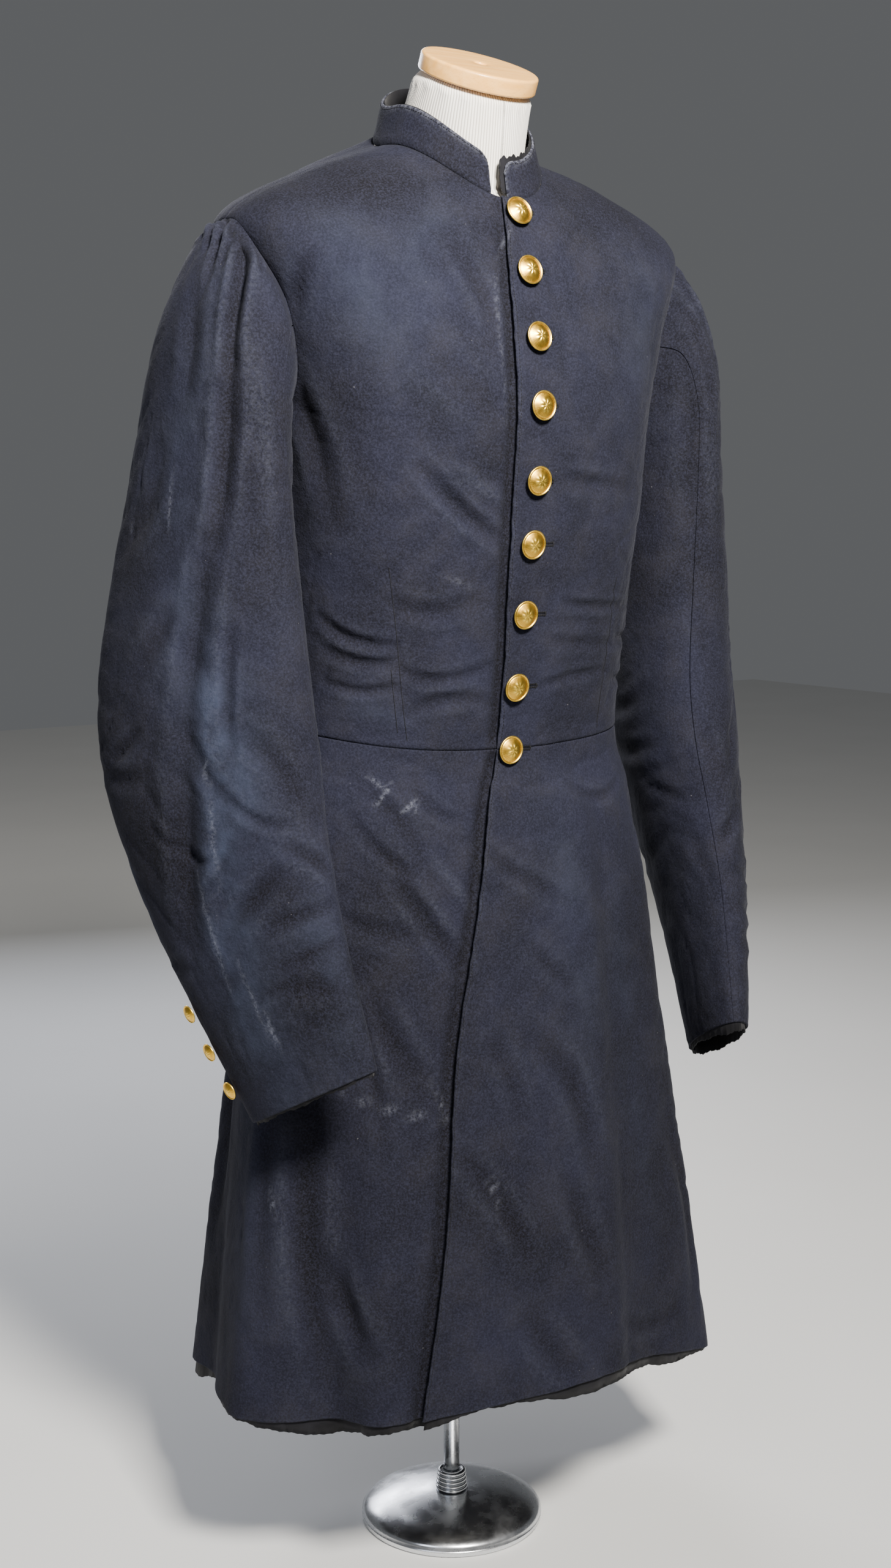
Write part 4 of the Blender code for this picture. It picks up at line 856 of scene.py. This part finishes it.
# %% Cut and lay the sleeves
def sleeve_panel(side, name, first, last, columns):
    """Shell between the two seams; the left one has fewer folds because that arm hangs straighter."""
    angle = first + (last - first) * crowded(columns, 0.2)
    half = crowded(2 * 118, 1.2)[117:] * 2 - 1
    along = np.concatenate((np.linspace(0, 1, 34)[:-1] ** 1.4, 1 + (CUFF - 1) * half))
    along = np.clip(np.unique(np.round(along, 5)), 0, CUFF)
    place = sleeve_places(side)
    base = sleeve_grid(angle, along, side)
    rows = HEAD_GATHERS + SLEEVE_CREASES
    if side > 0:
        rows = HEAD_GATHERS + SLEEVE_CREASES[3:] + LEFT_SLEEVE_CREASES
    share = 1.0 if side < 0 else 0.6
    lift = FOLD_DEPTH * strokes(base, place, rows, FOLD_RIDGE) * share + cockle(base, 2.0)
    crease = lift[[0] + list(range(len(lift)))]
    lift = lift + rumple(base, SLEEVE_RUMPLE, 3.0 + side)
    seat = 1 - np.exp(-along / 0.07)
    lift = lift * seat[:, None]
    up, down, across, back_run = edge_runs(base)
    lift = lift * (1 - np.exp(-(np.minimum(across, back_run) / 0.006) ** 2))
    seam = 0.0006 if side < 0 else 0.0001
    sink = rounded(across, 0.001, seam) + rounded(back_run, 0.001, seam) + rounded(down)
    turned_in = [armhole_ring(angle, side, 1.07, deep)[None] * (side, 1, 1) for deep in (0.0026, 0.0036)]
    face = np.vstack((turned_in[0], sleeve_grid(angle, along, side, lift - sink)))
    back = np.vstack((turned_in[1], sleeve_grid(angle, along, side, lift - CLOTH)))
    fade = SLEEVE_FADES if side < 0 else SLEEVE_FADES[4:5]
    wear = wear_of(base, place, fade, SLEEVE_STAINS_AND_SHADE, SLEEVE_RUBS if side < 0 else SLEEVE_RUBS[5:6], (down,))
    wear = creased(np.vstack((wear[:1], wear)), crease)
    piece = shell("wool_" + name, face, back, wear)
    dress(piece, BROADCLOTH, "navy_broadcloth", name)
    declare_cloth(piece, base)


for hand, word in ((-1, "right"), (1, "left")):
    sleeve_panel(hand, "top_sleeve_" + word, FRONT_SEAM - 0.25, BACK_SEAM + 0.25, 124)
    sleeve_panel(hand, "under_sleeve_" + word, BACK_SEAM + 359.75, FRONT_SEAM + 0.25, 60)


# %% Cuff linings
def cuff_lining(side):
    """Tube just inside the cuff, its lower edge sagging and frayed by three fine waves."""
    angle = np.linspace(0, 360, 160, endpoint=False)
    along = CUFF - np.linspace(0, 0.4, 8)
    face = sleeve_grid(angle, along, side, -CLOTH - 0.0012)
    back = sleeve_grid(angle, along, side, -CLOTH - 0.0020)
    axis = unit(face[-1].mean(axis=0) - face[0].mean(axis=0))
    turn = np.radians(angle)
    sag = 0.0022 + (0.0060 * np.exp(-((angle - 200) / 60) ** 2) if side > 0 else 0.0)
    sag = sag + 0.0007 * np.sin(9 * turn) + 0.0004 * np.sin(31 * turn + 1) + 0.0003 * np.sin(67 * turn)
    face[0] -= sag[:, None] * axis
    back[0] -= sag[:, None] * axis
    name = "cuff_lining_left" if side > 0 else "cuff_lining_right"
    piece = shell("black_" + name, face, back, around=True)
    dress(piece, BLACK_LINING, "black_lining", name)
    declare_cloth(piece, face)


cuff_lining(-1)
cuff_lining(1)

# %% [markdown]
# ## Standing collar
# The collar is a band 30 mm high with rounded front corners, leaning in a little as it rises. It stands
# on the neck seam, and its black lining is frayed along the top at the wearer's left.

# %% Collar and its lining
COLLAR_HEIGHT, COLLAR_LEAN, COLLAR_CORNER = 0.030, 0.0065, 0.010


def collar_grid(out, low, high, rows, columns, spare=0.0, longer=0.0):
    """Neck seam carried up and leaned in; quarter circles shorten it at both ends."""
    first = turn_at(np.array(12.0), np.array(-0.006 + spare - longer))
    last = 360.0 + turn_at(np.array(12.0), np.array(-0.019 - spare))
    foot = coat_point(first + (last - first) * np.linspace(0, 1, columns), 12.0)
    middle = np.array((0.0, (foot[:, 1].max() + foot[:, 1].min()) / 2, 0.0))
    inward = unit((middle - foot) * (1, 1, 0))
    run = np.concatenate(([0.0], np.cumsum(np.linalg.norm(np.diff(foot, axis=0), axis=1))))
    short = np.clip(1.0 - np.minimum(run, run[-1] - run) / COLLAR_CORNER, 0, 1)
    corner = COLLAR_CORNER * (1.0 - np.sqrt(1.0 - short**2))
    rise = crowded(rows, COLLAR_HEIGHT)[:, None] * (high - low - corner)[None] + low
    points = foot[None] + inward[None] * (COLLAR_LEAN * rise / COLLAR_HEIGHT - out)[..., None]
    points[..., 2] += rise
    return points, inward, run


def collar():
    """Band with a face rounded at the top and a soft roll along its seam."""
    base, inward, run = collar_grid(0.0, -0.0014, COLLAR_HEIGHT, 20, 240)
    up, down, first, last = edge_runs(base)
    wave = 0.0004 * np.sin(run / 0.019) + 0.0003 * np.sin(run / 0.0083 + 1)
    sink = rounded(down) + rounded(first) + rounded(last) + rounded(up, 0.002, 0.0012)
    swell = 0.0007 * np.exp(-((up - 0.005) / 0.003) ** 2) + wave * np.clip(up / 0.02, 0, 1)
    face = base - inward[None] * (swell - sink)[..., None]
    back = base + inward[None] * (CLOTH - wave * np.clip(up / 0.02, 0, 1))[..., None]
    rub = 0.5 * np.exp(-down / 0.0022) + 0.25 * np.exp(-np.minimum(first, last) / 0.0018)
    darkening = 0.35 + 0.15 * np.sin(run / 0.03)[None] + 0 * rub
    piece = shell("wool_collar", face, back, np.clip(np.stack((0 * rub, darkening, rub), -1), 0, 1))
    dress(piece, BROADCLOTH, "navy_broadcloth", "collar")
    declare_cloth(piece, base)
    return face


def collar_lining():
    """Thin band inside the collar; its top is frayed by fine waves where it shows."""
    face, inward, run = collar_grid(-CLOTH - 0.0009, 0.004, COLLAR_HEIGHT + 0.0004, 18, 380, 0.001, 0.0045)
    up = crowded(18, COLLAR_HEIGHT)[:, None]
    fray = 0.0034 * np.exp(-(run / 0.075) ** 2)
    fray = fray * (1 + 0.35 * np.sin(run / 0.0021) + 0.25 * np.sin(run / 0.0009 + 1))
    face[..., 2] += up ** 4 * fray
    ragged = 0.0011 * np.sin(19 * up) + 0.0008 * np.sin(47 * up + 1)
    face[..., 0] += ragged * np.exp(-run / 0.002)[None]
    piece = shell("black_collar_lining", face, face + inward[None] * 0.0007)
    dress(piece, BLACK_LINING, "black_lining", "collar_lining")
    declare_cloth(piece, face)


COLLAR_FACE = collar()
collar_lining()

# %% [markdown]
# ## Stitches and buttonholes
# The front edges and the collar's top are held by rows of small stitches, and each buttonhole
# is worked over with silk side by side. Along the darts a close row of black stitches lays a dark line,
# which is painted shade of the dart seams. A stitch is a spindle of five sides; one function lays
# hundreds of them as one mesh.

# %% Stitches
def spindles(name, starts, ends, normals, radius):
    """Joined five-sided spindles: rings at four places along each stitch and a point at both ends."""
    along, count = ends - starts, len(starts)
    side = unit(np.cross(along, normals))
    turn = np.arange(5) * 2 * np.pi / 5
    ring = side[:, None] * np.cos(turn)[:, None] + unit(normals)[:, None] * np.sin(turn)[:, None]
    shape = ((0.04, 0.55), (0.25, 1.0), (0.75, 1.0), (0.96, 0.55))
    bands = [starts[:, None] + along[:, None] * t + ring * radius * fat for t, fat in shape]
    points = np.concatenate([starts[:, None]] + bands + [ends[:, None]], axis=1)
    around = np.arange(5)
    after = (around + 1) % 5
    quads = np.stack((1 + around, 1 + after, 6 + after, 6 + around), -1)
    quads = np.vstack([quads + 5 * band for band in range(3)])
    tris = np.vstack((np.stack((0 * around, 1 + after, 1 + around), -1),
                      np.stack((0 * around + 21, 16 + around, 16 + after), -1)))
    shift = np.arange(count)[:, None, None] * points.shape[1]
    faces = [(quads + shift).reshape(-1, 4), (tris + shift).reshape(-1, 3)]
    piece = mesh_piece(name, points.reshape(-1, 3), faces)
    piece.data.materials.append(BLACK_THREAD)
    return piece


def stitch_row(path, outward_from, pitch=0.0026, length=0.0018, above=0.00018):
    """Even stitches along a path of points, laid just over the cloth; gives starts, ends and normals."""
    run = np.concatenate(([0.0], np.cumsum(np.linalg.norm(np.diff(path, axis=0), axis=1))))
    places = np.arange(0.002, run[-1] - 0.002, pitch)

    def read(where):
        return np.stack([np.interp(where, run, path[:, i]) for i in range(3)], -1)

    normals = unit(read(places) - outward_from(read(places)))
    return read(places) + normals * above, read(places + length) + normals * above, normals


def line_inside(face, edge, inset):
    """Line on a face grid at a distance from one of its upright edges."""
    runs = edge_runs(face)[edge]
    columns = np.argmin(np.abs(runs - inset), axis=1)
    return face[np.arange(len(face)), columns]


def pole_axis(points):
    """Points of the coat's middle line at the same heights."""
    return points * (0, 0, 1)


rows_of_stitches = [stitch_row(line_inside(face, edge, 0.0024), pole_axis)
                    for face, edge in ((FRONT_LEFT, 2), (SKIRT_LEFT, 2), (FRONT_RIGHT, 3), (SKIRT_RIGHT, 3))]
rows_of_stitches.append(stitch_row(COLLAR_FACE[-5], lambda p: p * (0, 0, 1) + (0, -0.012, 0)))
# along the first three darts a close row of black thread lays a dark line: painted shade of the dart seams
for *ends, _, _ in DARTS[:3]:
    line = coat_point(*bowed(ends, 60))
    sunk = FOLD_DEPTH * strokes(line, coat_point, BODY_CREASES, FOLD_RIDGE)
    sunk = sunk + DART_DEPTH * strokes(line, coat_point, DARTS)
    sunk = sunk + cockle(line) + rumple(line, BODY_RUMPLE, np.sign(ends[0]))
    line = coat_point(*bowed(ends, 60), sunk + 0.0002)
    rows_of_stitches.append(stitch_row(line, pole_axis, 0.0012, 0.0014))
stitches = spindles("edge_stitches_and_painted_dart_shade", *[np.vstack(group) for group in zip(*rows_of_stitches)], 0.00026)
print(sum(len(row[0]) for row in rows_of_stitches), "edge stitches")

# %% Worked buttonholes
HOLE_REACH, HOLE_STITCHES = 0.0215, 34


def buttonholes():
    """Purl stitches square to a slot, above and below it and fanned round its far end."""
    starts, ends, normals = [], [], []
    for number, (turn, level) in enumerate(zip(BUTTON_TURNS, BUTTON_LEVELS)):
        seat = BUTTON_SEATS[number]
        reach = HOLE_REACH if number in (5, 6, 7, 8) else 0.0155
        away = coat_point(turn + 8.0, level, 0.0026) - seat
        away = unit(away - (0, 0, away[2] * 0.3))
        normal = unit(coat_point(turn, level, 0.01) - coat_point(turn, level))
        up = unit(np.cross(normal, away))
        share = np.linspace(-0.35, 1.0, HOLE_STITCHES)
        fan = np.linspace(np.pi / 2, -np.pi / 2, 9)
        slot = seat + away * (share * reach)[:, None]
        for sign in (-1, 1):
            starts.append(slot + up * sign * 0.0002)
            ends.append(slot + up * sign * 0.0019)
            normals.append(np.broadcast_to(normal, slot.shape))
        spoke = away * np.cos(fan)[:, None] + up * np.sin(fan)[:, None]
        starts.append(slot[-1] + spoke * 0.0003)
        ends.append(slot[-1] + spoke * 0.0022)
        normals.append(np.broadcast_to(normal, spoke.shape))
    starts, ends, normals = (np.vstack(group) for group in (starts, ends, normals))
    flat = turn_and_level(starts), turn_and_level(ends)
    starts, ends = (coat_point(turn, level, lap_lift(points[..., 0], level) + 0.0003)
                    for (turn, level), points in zip(flat, (starts, ends)))
    return spindles("worked_buttonholes", starts, ends, normals, 0.00034)


def turn_and_level(points):
    """Turn and level of points near the centre front: six rounds of reading x and height back."""
    level = np.interp(points[:, 2], RINGS[:, 0], np.arange(len(RINGS)))
    for _ in range(6):
        turn = turn_at(level, points[:, 0])
        level = level - (coat_point(turn, level)[:, 2] - points[:, 2]) / 0.09
    return turn, level


holes = buttonholes()
print(len(holes.data.polygons), "faces in the nine buttonholes")

# %% [markdown]
# ## Gilt buttons
# A military style button is a domed brass disc struck with relief and gilded. The relief here is a plain
# pattern of its own: a rolled rim, a ring of beads, fine rays and a rosette of eight petals. A disc is a
# profile turned round its axis, and the relief is a height added by radius and angle.

# %% Gilt brass
def gilt_brass():
    """Gold by wear: pale rubbed high parts, dark dirt low down, read from the piece's own colour."""
    made, tree, shader = new_material("gilt_brass", Metallic=1.0, Roughness=0.3)
    place = node(tree, "ShaderNodeTexCoord").outputs["Object"]
    wear = node(tree, "ShaderNodeAttribute", attribute_name="wear").outputs["Color"]
    height = node(tree, "ShaderNodeSeparateColor", {0: wear}).outputs[0]
    blotch = noise(tree, place, 300.0, 3.0)
    colour = mixed(tree, levels(tree, height, 0.1, 0.5), linear("c98a16"), linear("ffd75c"))
    colour = mixed(tree, levels(tree, blotch, 0.55, 0.75, 0.0, 0.3), colour, linear("e0ac34"))
    tree.links.new(colour, shader.inputs["Base Color"])
    tree.links.new(levels(tree, blotch, 0.3, 0.8, 0.30, 0.46), shader.inputs["Roughness"])
    return made


GILT_BRASS = gilt_brass()

# %% Button shape
def relief(share, turn):
    """Beads near the rim, rays in the field, eight petals and a boss, in millimetres."""
    beads = 0.16 * np.exp(-((share - 0.79) / 0.035) ** 2) * np.abs(np.cos(16 * turn))
    rays = 0.07 * np.cos(32 * turn) * np.exp(-((share - 0.62) / 0.09) ** 2)
    petals = 0.42 * np.exp(-((share - 0.30) / 0.15) ** 2) * (0.5 + 0.5 * np.cos(8 * turn)) ** 0.8
    boss = 0.40 * np.exp(-(share / 0.10) ** 2)
    return beads + rays + petals + boss


def button_grid(width, height, rings, steps):
    """Turned profile, apex to shank, with the relief on its top; gives points by ring and a tone."""
    field = np.linspace(0.02, 0.86, rings)
    share = np.concatenate((field, (0.89, 0.92, 0.955, 0.985, 1.0, 0.99, 0.94, 0.6, 0.27, 0.25)))
    dome = np.concatenate((0.56 + 0.44 * (1 - (field / 0.86) ** 2),
                           (0.60, 0.65, 0.66, 0.63, 0.56, 0.50, 0.44, 0.40, 0.36, 0.02)))
    turn = np.linspace(0, 2 * np.pi, steps, endpoint=False)
    top = np.arange(len(share)) < rings
    lift = np.where(top[:, None], relief(share[:, None], turn[None]) * width / 0.023 * 0.001, 0)
    radius = share * width / 2
    points = np.stack((radius[:, None] * np.cos(turn), radius[:, None] * np.sin(turn),
                       dome[:, None] * height + lift), -1)
    tone = np.clip(0.30 + lift / 0.0004 * 0.6 + 0.6 * (share[:, None] > 0.90) * (share[:, None] < 1.01), 0, 1)
    tone[rings + 6:] = 0.1
    return points, tone


def turned_faces(rings, steps):
    """Quads between rings, and triangles to a pole before the first ring and after the last one."""
    index = 1 + np.arange(rings * steps).reshape(rings, steps)
    index = np.hstack((index, index[:, :1]))
    quads = np.stack((index[:-1, :-1], index[1:, :-1], index[1:, 1:], index[:-1, 1:]), -1).reshape(-1, 4)
    last = rings * steps + 1
    tris = np.vstack((np.stack((0 * index[0, 1:], index[0, :-1], index[0, 1:]), -1),
                      np.stack((0 * index[0, 1:] + last, index[-1, 1:], index[-1, :-1]), -1)))
    return quads, tris


def lay_buttons(name, seats, width, height, rings, steps, nodes):
    """Copies of one button, each turned so that its axis is the cloth's normal there, as one mesh."""
    points, tone = button_grid(width, height, rings, steps)
    top = np.array((0, 0, points[0, :, 2].mean()))
    flat = np.vstack((top, points.reshape(-1, 3), (0, 0, points[-1, 0, 2])))
    shade = np.concatenate(((0.9,), tone.ravel(), (0.1,)))
    quads, tris = turned_faces(*points.shape[:2])
    vertices = []
    for number, (seat, normal) in enumerate(seats):
        turn = Vector((0, 0, 1)).rotation_difference(Vector(normal)).to_matrix()
        spin = np.radians(37.0 * number)
        spun = flat @ np.array(((np.cos(spin), np.sin(spin), 0), (-np.sin(spin), np.cos(spin), 0), (0, 0, 1)))
        vertices.append(spun @ np.array(turn).T + seat + normal * 0.0003)
    shift = np.arange(len(seats))[:, None, None] * len(flat)
    wear = np.tile(np.column_stack((shade, shade, shade)), (len(seats), 1))
    faces = [(quads + shift).reshape(-1, 4), (tris + shift).reshape(-1, 3)]
    piece = mesh_piece(name, np.vstack(vertices), faces, wear)
    dress(piece, GILT_BRASS, "gilt_brass", *nodes)
    print(name, len(seats), "of", round(width * 1000, 1), "mm")


front_seats = [(seat + (0.0002 if level <= WAIST else 0.0),
                unit(coat_point(turn, level, 0.01) - coat_point(turn, level)))
               for seat, turn, level in zip(BUTTON_SEATS, BUTTON_TURNS, BUTTON_LEVELS)]
lay_buttons("front_buttons", front_seats, 0.023, 0.0075, 26, 64,
            ["front_button_%d" % n for n in range(1, 10)])


def cuff_seats(side):
    """Three places up the back seam; each button leans outwards on its shank."""
    seats = []
    for rise in (0.030, 0.062, 0.095):
        along, normal = np.array((CUFF - rise / 0.108,)), 0.0
        seat = sleeve_grid(np.array((22.0,)), along, side)[0, 0]
        for angle in (22.0, 80.0):
            where = np.array((angle,))
            way = unit(sleeve_grid(where, along, side, 0.01)[0, 0] - sleeve_grid(where, along, side)[0, 0])
            normal = normal + way * np.sign(way[0] * side)
        normal = unit(normal)
        seats.append((seat + normal * 0.0018, normal))
    return seats


for hand, word in ((-1, "right"), (1, "left")):
    lay_buttons("cuff_buttons_" + word, cuff_seats(hand), 0.0145, 0.0052, 20, 48,
                ["cuff_button_%s_%d" % (word, n) for n in (1, 2, 3)])

# %% [markdown]
# ## Form, cap and stand
# The form is a padded body covered in cream rib jersey, which is a knit of fine upright ribs. It puckers
# where it is tacked under the cap. The cap is turned beech with a clear varnish and a small hole.

# %% Jersey form
def rib_jersey():
    """Cream with faint soiling and painted shade in the grooves of upright ribs 2.1 mm apart, from the
    piece's own map, in metres.
    """
    made, tree, shader = new_material("cream_rib_jersey", Roughness=0.95, Sheen_Weight=0.2)
    place = node(tree, "ShaderNodeTexCoord")
    across = node(tree, "ShaderNodeSeparateXYZ", {0: place.outputs["UV"]}).outputs[0]
    phase = node(tree, "ShaderNodeMath", {0: across}, operation="MULTIPLY", _1=2 * np.pi / 0.0021).outputs[0]
    rib = levels(tree, node(tree, "ShaderNodeMath", {0: phase}, operation="SINE").outputs[0], -1, 1)
    soil = noise(tree, place.outputs["Object"], 30.0, 3.0)
    colour = mixed(tree, levels(tree, soil, 0.4, 0.75, 0, 0.6), linear("f6f2ea"), linear("e6ddce"))
    # painted shade: the grooves between the ribs are darkened to grey
    colour = mixed(tree, levels(tree, rib, 0.0, 0.4, 0.8, 0.0), colour, linear("8d877e"))
    tree.links.new(colour, shader.inputs["Base Color"])
    bump = node(tree, "ShaderNodeBump", {"Height": rib}, _0=0.7, _1=0.0004).outputs[0]
    tree.links.new(bump, shader.inputs["Normal"])
    return made


NECK_SLOPE, NECK_TOP_Y, NECK_ROUND = np.radians(24.0), -0.027, 0.006
CAP_CENTRE = np.array((0.0, -0.034, 1.2132))
FORM_INSIDE = ((3.1, .0165), (3.6, .0135), (4.3, .0125), (5.0, .012), (5.6, .012), (6.2, .012), (7.0, .0125),
               (7.9, .0115), (10.42, .0062), (10.7, .0048), (11.0, .0043), (11.45, .0043), (11.8, .0040))


def form_body():
    """Rings inside the coat, then up the leaning neck to a top cut parallel to the cap."""
    turn = np.linspace(0, 360, 192, endpoint=False)
    hollow = 0.0018 * np.clip(-np.cos(np.radians(turn)), 0, 1)
    rings = [coat_point(turn, level, -depth - hollow) for level, depth in FORM_INSIDE]
    root = coat_point(turn, NECK)
    foot = root.mean(axis=0) + (root - root.mean(axis=0)) * 0.77
    foot[:, 2] -= 0.0004

    nape = np.clip(0.2 - np.cos(np.radians(turn)), 0, 1)

    def slanting_ring(smaller, below):
        x = (0.048 - smaller * (1 + nape)) * np.sin(np.radians(turn))
        y = NECK_TOP_Y - (0.046 - smaller * (1 + nape)) * np.cos(np.radians(turn))
        below = below + 0.010 * nape * (1 - smaller / NECK_ROUND)
        return np.stack((x, y, CAP_CENTRE[2] + np.tan(NECK_SLOPE) * (y - CAP_CENTRE[1]) - below), -1)

    top = slanting_ring(0.0, NECK_ROUND * 1.3)
    for share in np.linspace(0, 1, 24):
        pucker = 0.0006 * np.sin(np.radians(turn * 23) + 2 * np.sin(np.radians(turn * 3))) * share**8
        ring = foot + (top - foot) * share
        rings.append(ring + unit((ring - ring.mean(axis=0)) * (1, 1, 0)) * pucker[:, None])
    for smaller, below in ((.05, .95), (.15, .7), (.3, .5), (.6, .25), (1.0, .06)):
        rings.append(slanting_ring(NECK_ROUND * smaller, NECK_ROUND * below))
    rings = np.array(rings)[::-1]
    quads, tris = turned_faces(*rings.shape[:2])
    vertices = np.vstack((rings[0].mean(axis=0), rings.reshape(-1, 3), rings[-1].mean(axis=0)))
    around = np.concatenate(((0.0,), np.tile(np.radians(turn) * 0.047, len(rings)), (0.0,)))
    wrapped = np.column_stack((around, vertices[:, 2]))
    piece = mesh_piece("jersey_form", vertices, [outward(vertices, quads), tris], uv=wrapped)
    dress(piece, rib_jersey(), "cream_jersey", "form_body")
    return piece


form = form_body()
print("form of %d faces" % len(form.data.polygons))

# %% Turned pieces
def lathe(name, profile, steps, made, slot, nodes, tilt=0.0, centre=(0, 0, 0)):
    """Profile of radius and height turned round, tilted about X and moved to its place."""
    radius, height = np.array(profile).T
    turn = np.linspace(0, 2 * np.pi, steps, endpoint=False)
    rings = np.stack((radius[:, None] * np.cos(turn), radius[:, None] * np.sin(turn),
                      height[:, None] + 0 * turn), -1)
    vertices = np.vstack(((0, 0, height[0]), rings.reshape(-1, 3), (0, 0, height[-1])))
    quads, tris = turned_faces(*rings.shape[:2])
    spin = np.array(((1, 0, 0), (0, np.cos(tilt), np.sin(tilt)), (0, -np.sin(tilt), np.cos(tilt))))
    piece = mesh_piece(name, vertices @ spin + centre, [quads, tris])
    dress(piece, made, slot, *nodes)


def arc(radius, height, size, first, last, steps=8):
    """Points of a rounded corner: a circle of a size about (radius, height), between two angles."""
    angle = np.radians(np.linspace(first, last, steps))
    return [(radius + size * np.cos(a), height + size * np.sin(a)) for a in angle]


def varnished_beech():
    """Warm wood with grain stretched along X and short dark flecks, under a clear coat."""
    made, tree, shader = new_material("varnished_beech", Roughness=0.42, Coat_Weight=0.5, Coat_Roughness=0.18)
    place = node(tree, "ShaderNodeTexCoord").outputs["Object"]
    long = node(tree, "ShaderNodeMapping", {0: place}, _3=(14.0, 170.0, 170.0)).outputs[0]
    short = node(tree, "ShaderNodeMapping", {0: place}, _3=(220.0, 1500.0, 1500.0)).outputs[0]
    grain, fleck = noise(tree, long, 1.0, 4.0), noise(tree, short, 1.0, 1.0)
    colour = mixed(tree, levels(tree, grain, 0.35, 0.68), linear("f9c070"), linear("ecae58"))
    colour = mixed(tree, levels(tree, fleck, 0.6, 0.75, 0.0, 0.35), colour, linear("b8722f"))
    tree.links.new(colour, shader.inputs["Base Color"])
    bump = node(tree, "ShaderNodeBump", {"Height": grain}, _0=0.15, _1=0.0003).outputs[0]
    tree.links.new(bump, shader.inputs["Normal"])
    return made


cap = [(0.0012, .0090), (.0042, .0090)] + arc(.0062, .0128, .0012, 180, 90, 4)
cap += [(.015, .01400), (.030, .01400), (.040, .0139)] + arc(.0475 - .0024, .0115, .0024, 86, 0, 8)
cap += [(.0475, .007)] + arc(.0457, .0018, .0018, 0, -90, 6) + [(.030, 0.0), (.004, 0.0)]
lathe("beech_cap", cap, 128, varnished_beech(), "light_beech", ["neck_cap"], NECK_SLOPE, CAP_CENTRE)

# %% [markdown]
# The stand is chromed steel: a low domed base, a collar of five rings that locks the pole, and the pole.
# Chrome is a mirror with a faint cold tint, so nearly all that it shows is its surroundings.

# %% Chrome stand
def chrome_plate():
    """Mirror metal, its roughness raised a little by fingermarks."""
    made, tree, shader = new_material("chrome_plate", Metallic=1.0, Base_Color=linear("dfe1e4"))
    place = node(tree, "ShaderNodeTexCoord").outputs["Object"]
    marks = noise(tree, place, 45.0, 4.0, 0.6)
    tree.links.new(levels(tree, marks, 0.35, 0.75, 0.20, 0.36), shader.inputs["Roughness"])
    return made


CHROME = chrome_plate()
FORM_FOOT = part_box("pole")[1][2]
dome = [(r, .0055 + .0185 * np.sqrt(1 - (r / .079) ** 2 * .995)) for r in np.linspace(.0004, .0786, 44)]
base = dome + arc(.0778, .0042, .0012, 60, -30, 6)
base += [(.0788, .0014), (.0778, .0003), (.060, 0.0), (.002, 0.0)]
lathe("chrome_base", base, 160, CHROME, "chrome_plate", ["base"])
lathe("chrome_pole", [(.0004, FORM_FOOT), (.0064, FORM_FOOT), (.0070, FORM_FOOT - .0006), (.0070, .0249),
                      (.0064, .0243), (.0004, .0243)], 64, CHROME, "chrome_plate", ["pole"])
rings = []
for ring in range(5):
    outer, low = .0140 - .0004 * (4 - ring), .0243 + .0036 * (4 - ring)
    rings += arc(outer - .0016, low + .0018, .0016, 88, -88, 9) + [(outer - .0026, low)]


def pole_collar():
    """Five rounded rings round the pole; the profile runs down outside and back up inside the bore."""
    outline = np.array([(.0074, .0423)] + rings + [(.0074, .0243)])
    turn = np.linspace(0, 2 * np.pi, 96, endpoint=False)
    radius, height = outline[:, :1], outline[:, 1:]
    grid = np.stack((radius * np.cos(turn), radius * np.sin(turn), height + 0 * turn), -1)
    index = np.arange(len(outline) * 96).reshape(-1, 96)
    index = np.vstack((np.hstack((index, index[:, :1])), np.append(index[0], index[0, 0])))
    quads = np.stack((index[:-1, :-1], index[1:, :-1], index[1:, 1:], index[:-1, 1:]), -1).reshape(-1, 4)
    vertices = grid.reshape(-1, 3)
    piece = mesh_piece("chrome_pole_collar", vertices, [outward(vertices, quads)])
    dress(piece, CHROME, "chrome_plate", "pole_collar")


pole_collar()

# %% [markdown]
# ## Floor and light
# A plain pale floor, one soft light high in front, a weak one on the viewer's left to open the shadows,
# one behind for the back of the coat, and a dim even sky.

# %% Studio
def floor():
    """Square of 12 metres, matt and pale, a hair under the stand."""
    half, down = 6.0, -0.0004
    mesh = bpy.data.meshes.new("floor")
    mesh.from_pydata([(-half, -half, down), (half, -half, down), (half, half, down), (-half, half, down)],
                     [], [(0, 1, 2, 3)])
    made, tree, shader = new_material("pale_floor", Roughness=0.9)
    place = node(tree, "ShaderNodeTexCoord").outputs["Object"]
    colour = mixed(tree, noise(tree, place, 3.0), linear("d8d8d6"), linear("dededc"))
    tree.links.new(colour, shader.inputs["Base Color"])
    mesh.materials.append(made)
    plane = bpy.data.objects.new("floor", mesh)
    bpy.context.scene.collection.objects.link(plane)


def soft_light(name, place, target, size, watts, tint, spread=180.0):
    """Square area light at a place, aimed at a target; a grid on its front narrows the spread."""
    made = bpy.data.lights.new(name, "AREA")
    made.size, made.energy, made.color, made.spread = size, watts, linear(tint)[:3], np.radians(spread)
    lamp = bpy.data.objects.new(name, made)
    lamp.location = place
    lamp.rotation_euler = (Vector(target) - Vector(place)).to_track_quat("-Z", "Y").to_euler()
    bpy.context.scene.collection.objects.link(lamp)


floor()
soft_light("key", (-0.5, -1.7, 2.0), (0.0, 0.0, 1.1), 0.4, 60, "fffaf2", 100.0)
soft_light("fill", (-1.9, -0.9, 1.5), (0.0, 0.0, 1.0), 0.8, 10, "eef3ff")
soft_light("back", (0.6, 2.0, 1.5), (0.0, 0.0, 0.8), 1.2, 40, "f4f6ff")
sky = bpy.data.worlds.new("sky")
sky.use_nodes = True
sky.node_tree.nodes["Background"].inputs[0].default_value = linear("e3e6ea")
sky.node_tree.nodes["Background"].inputs[1].default_value = 0.15
bpy.context.scene.world = sky
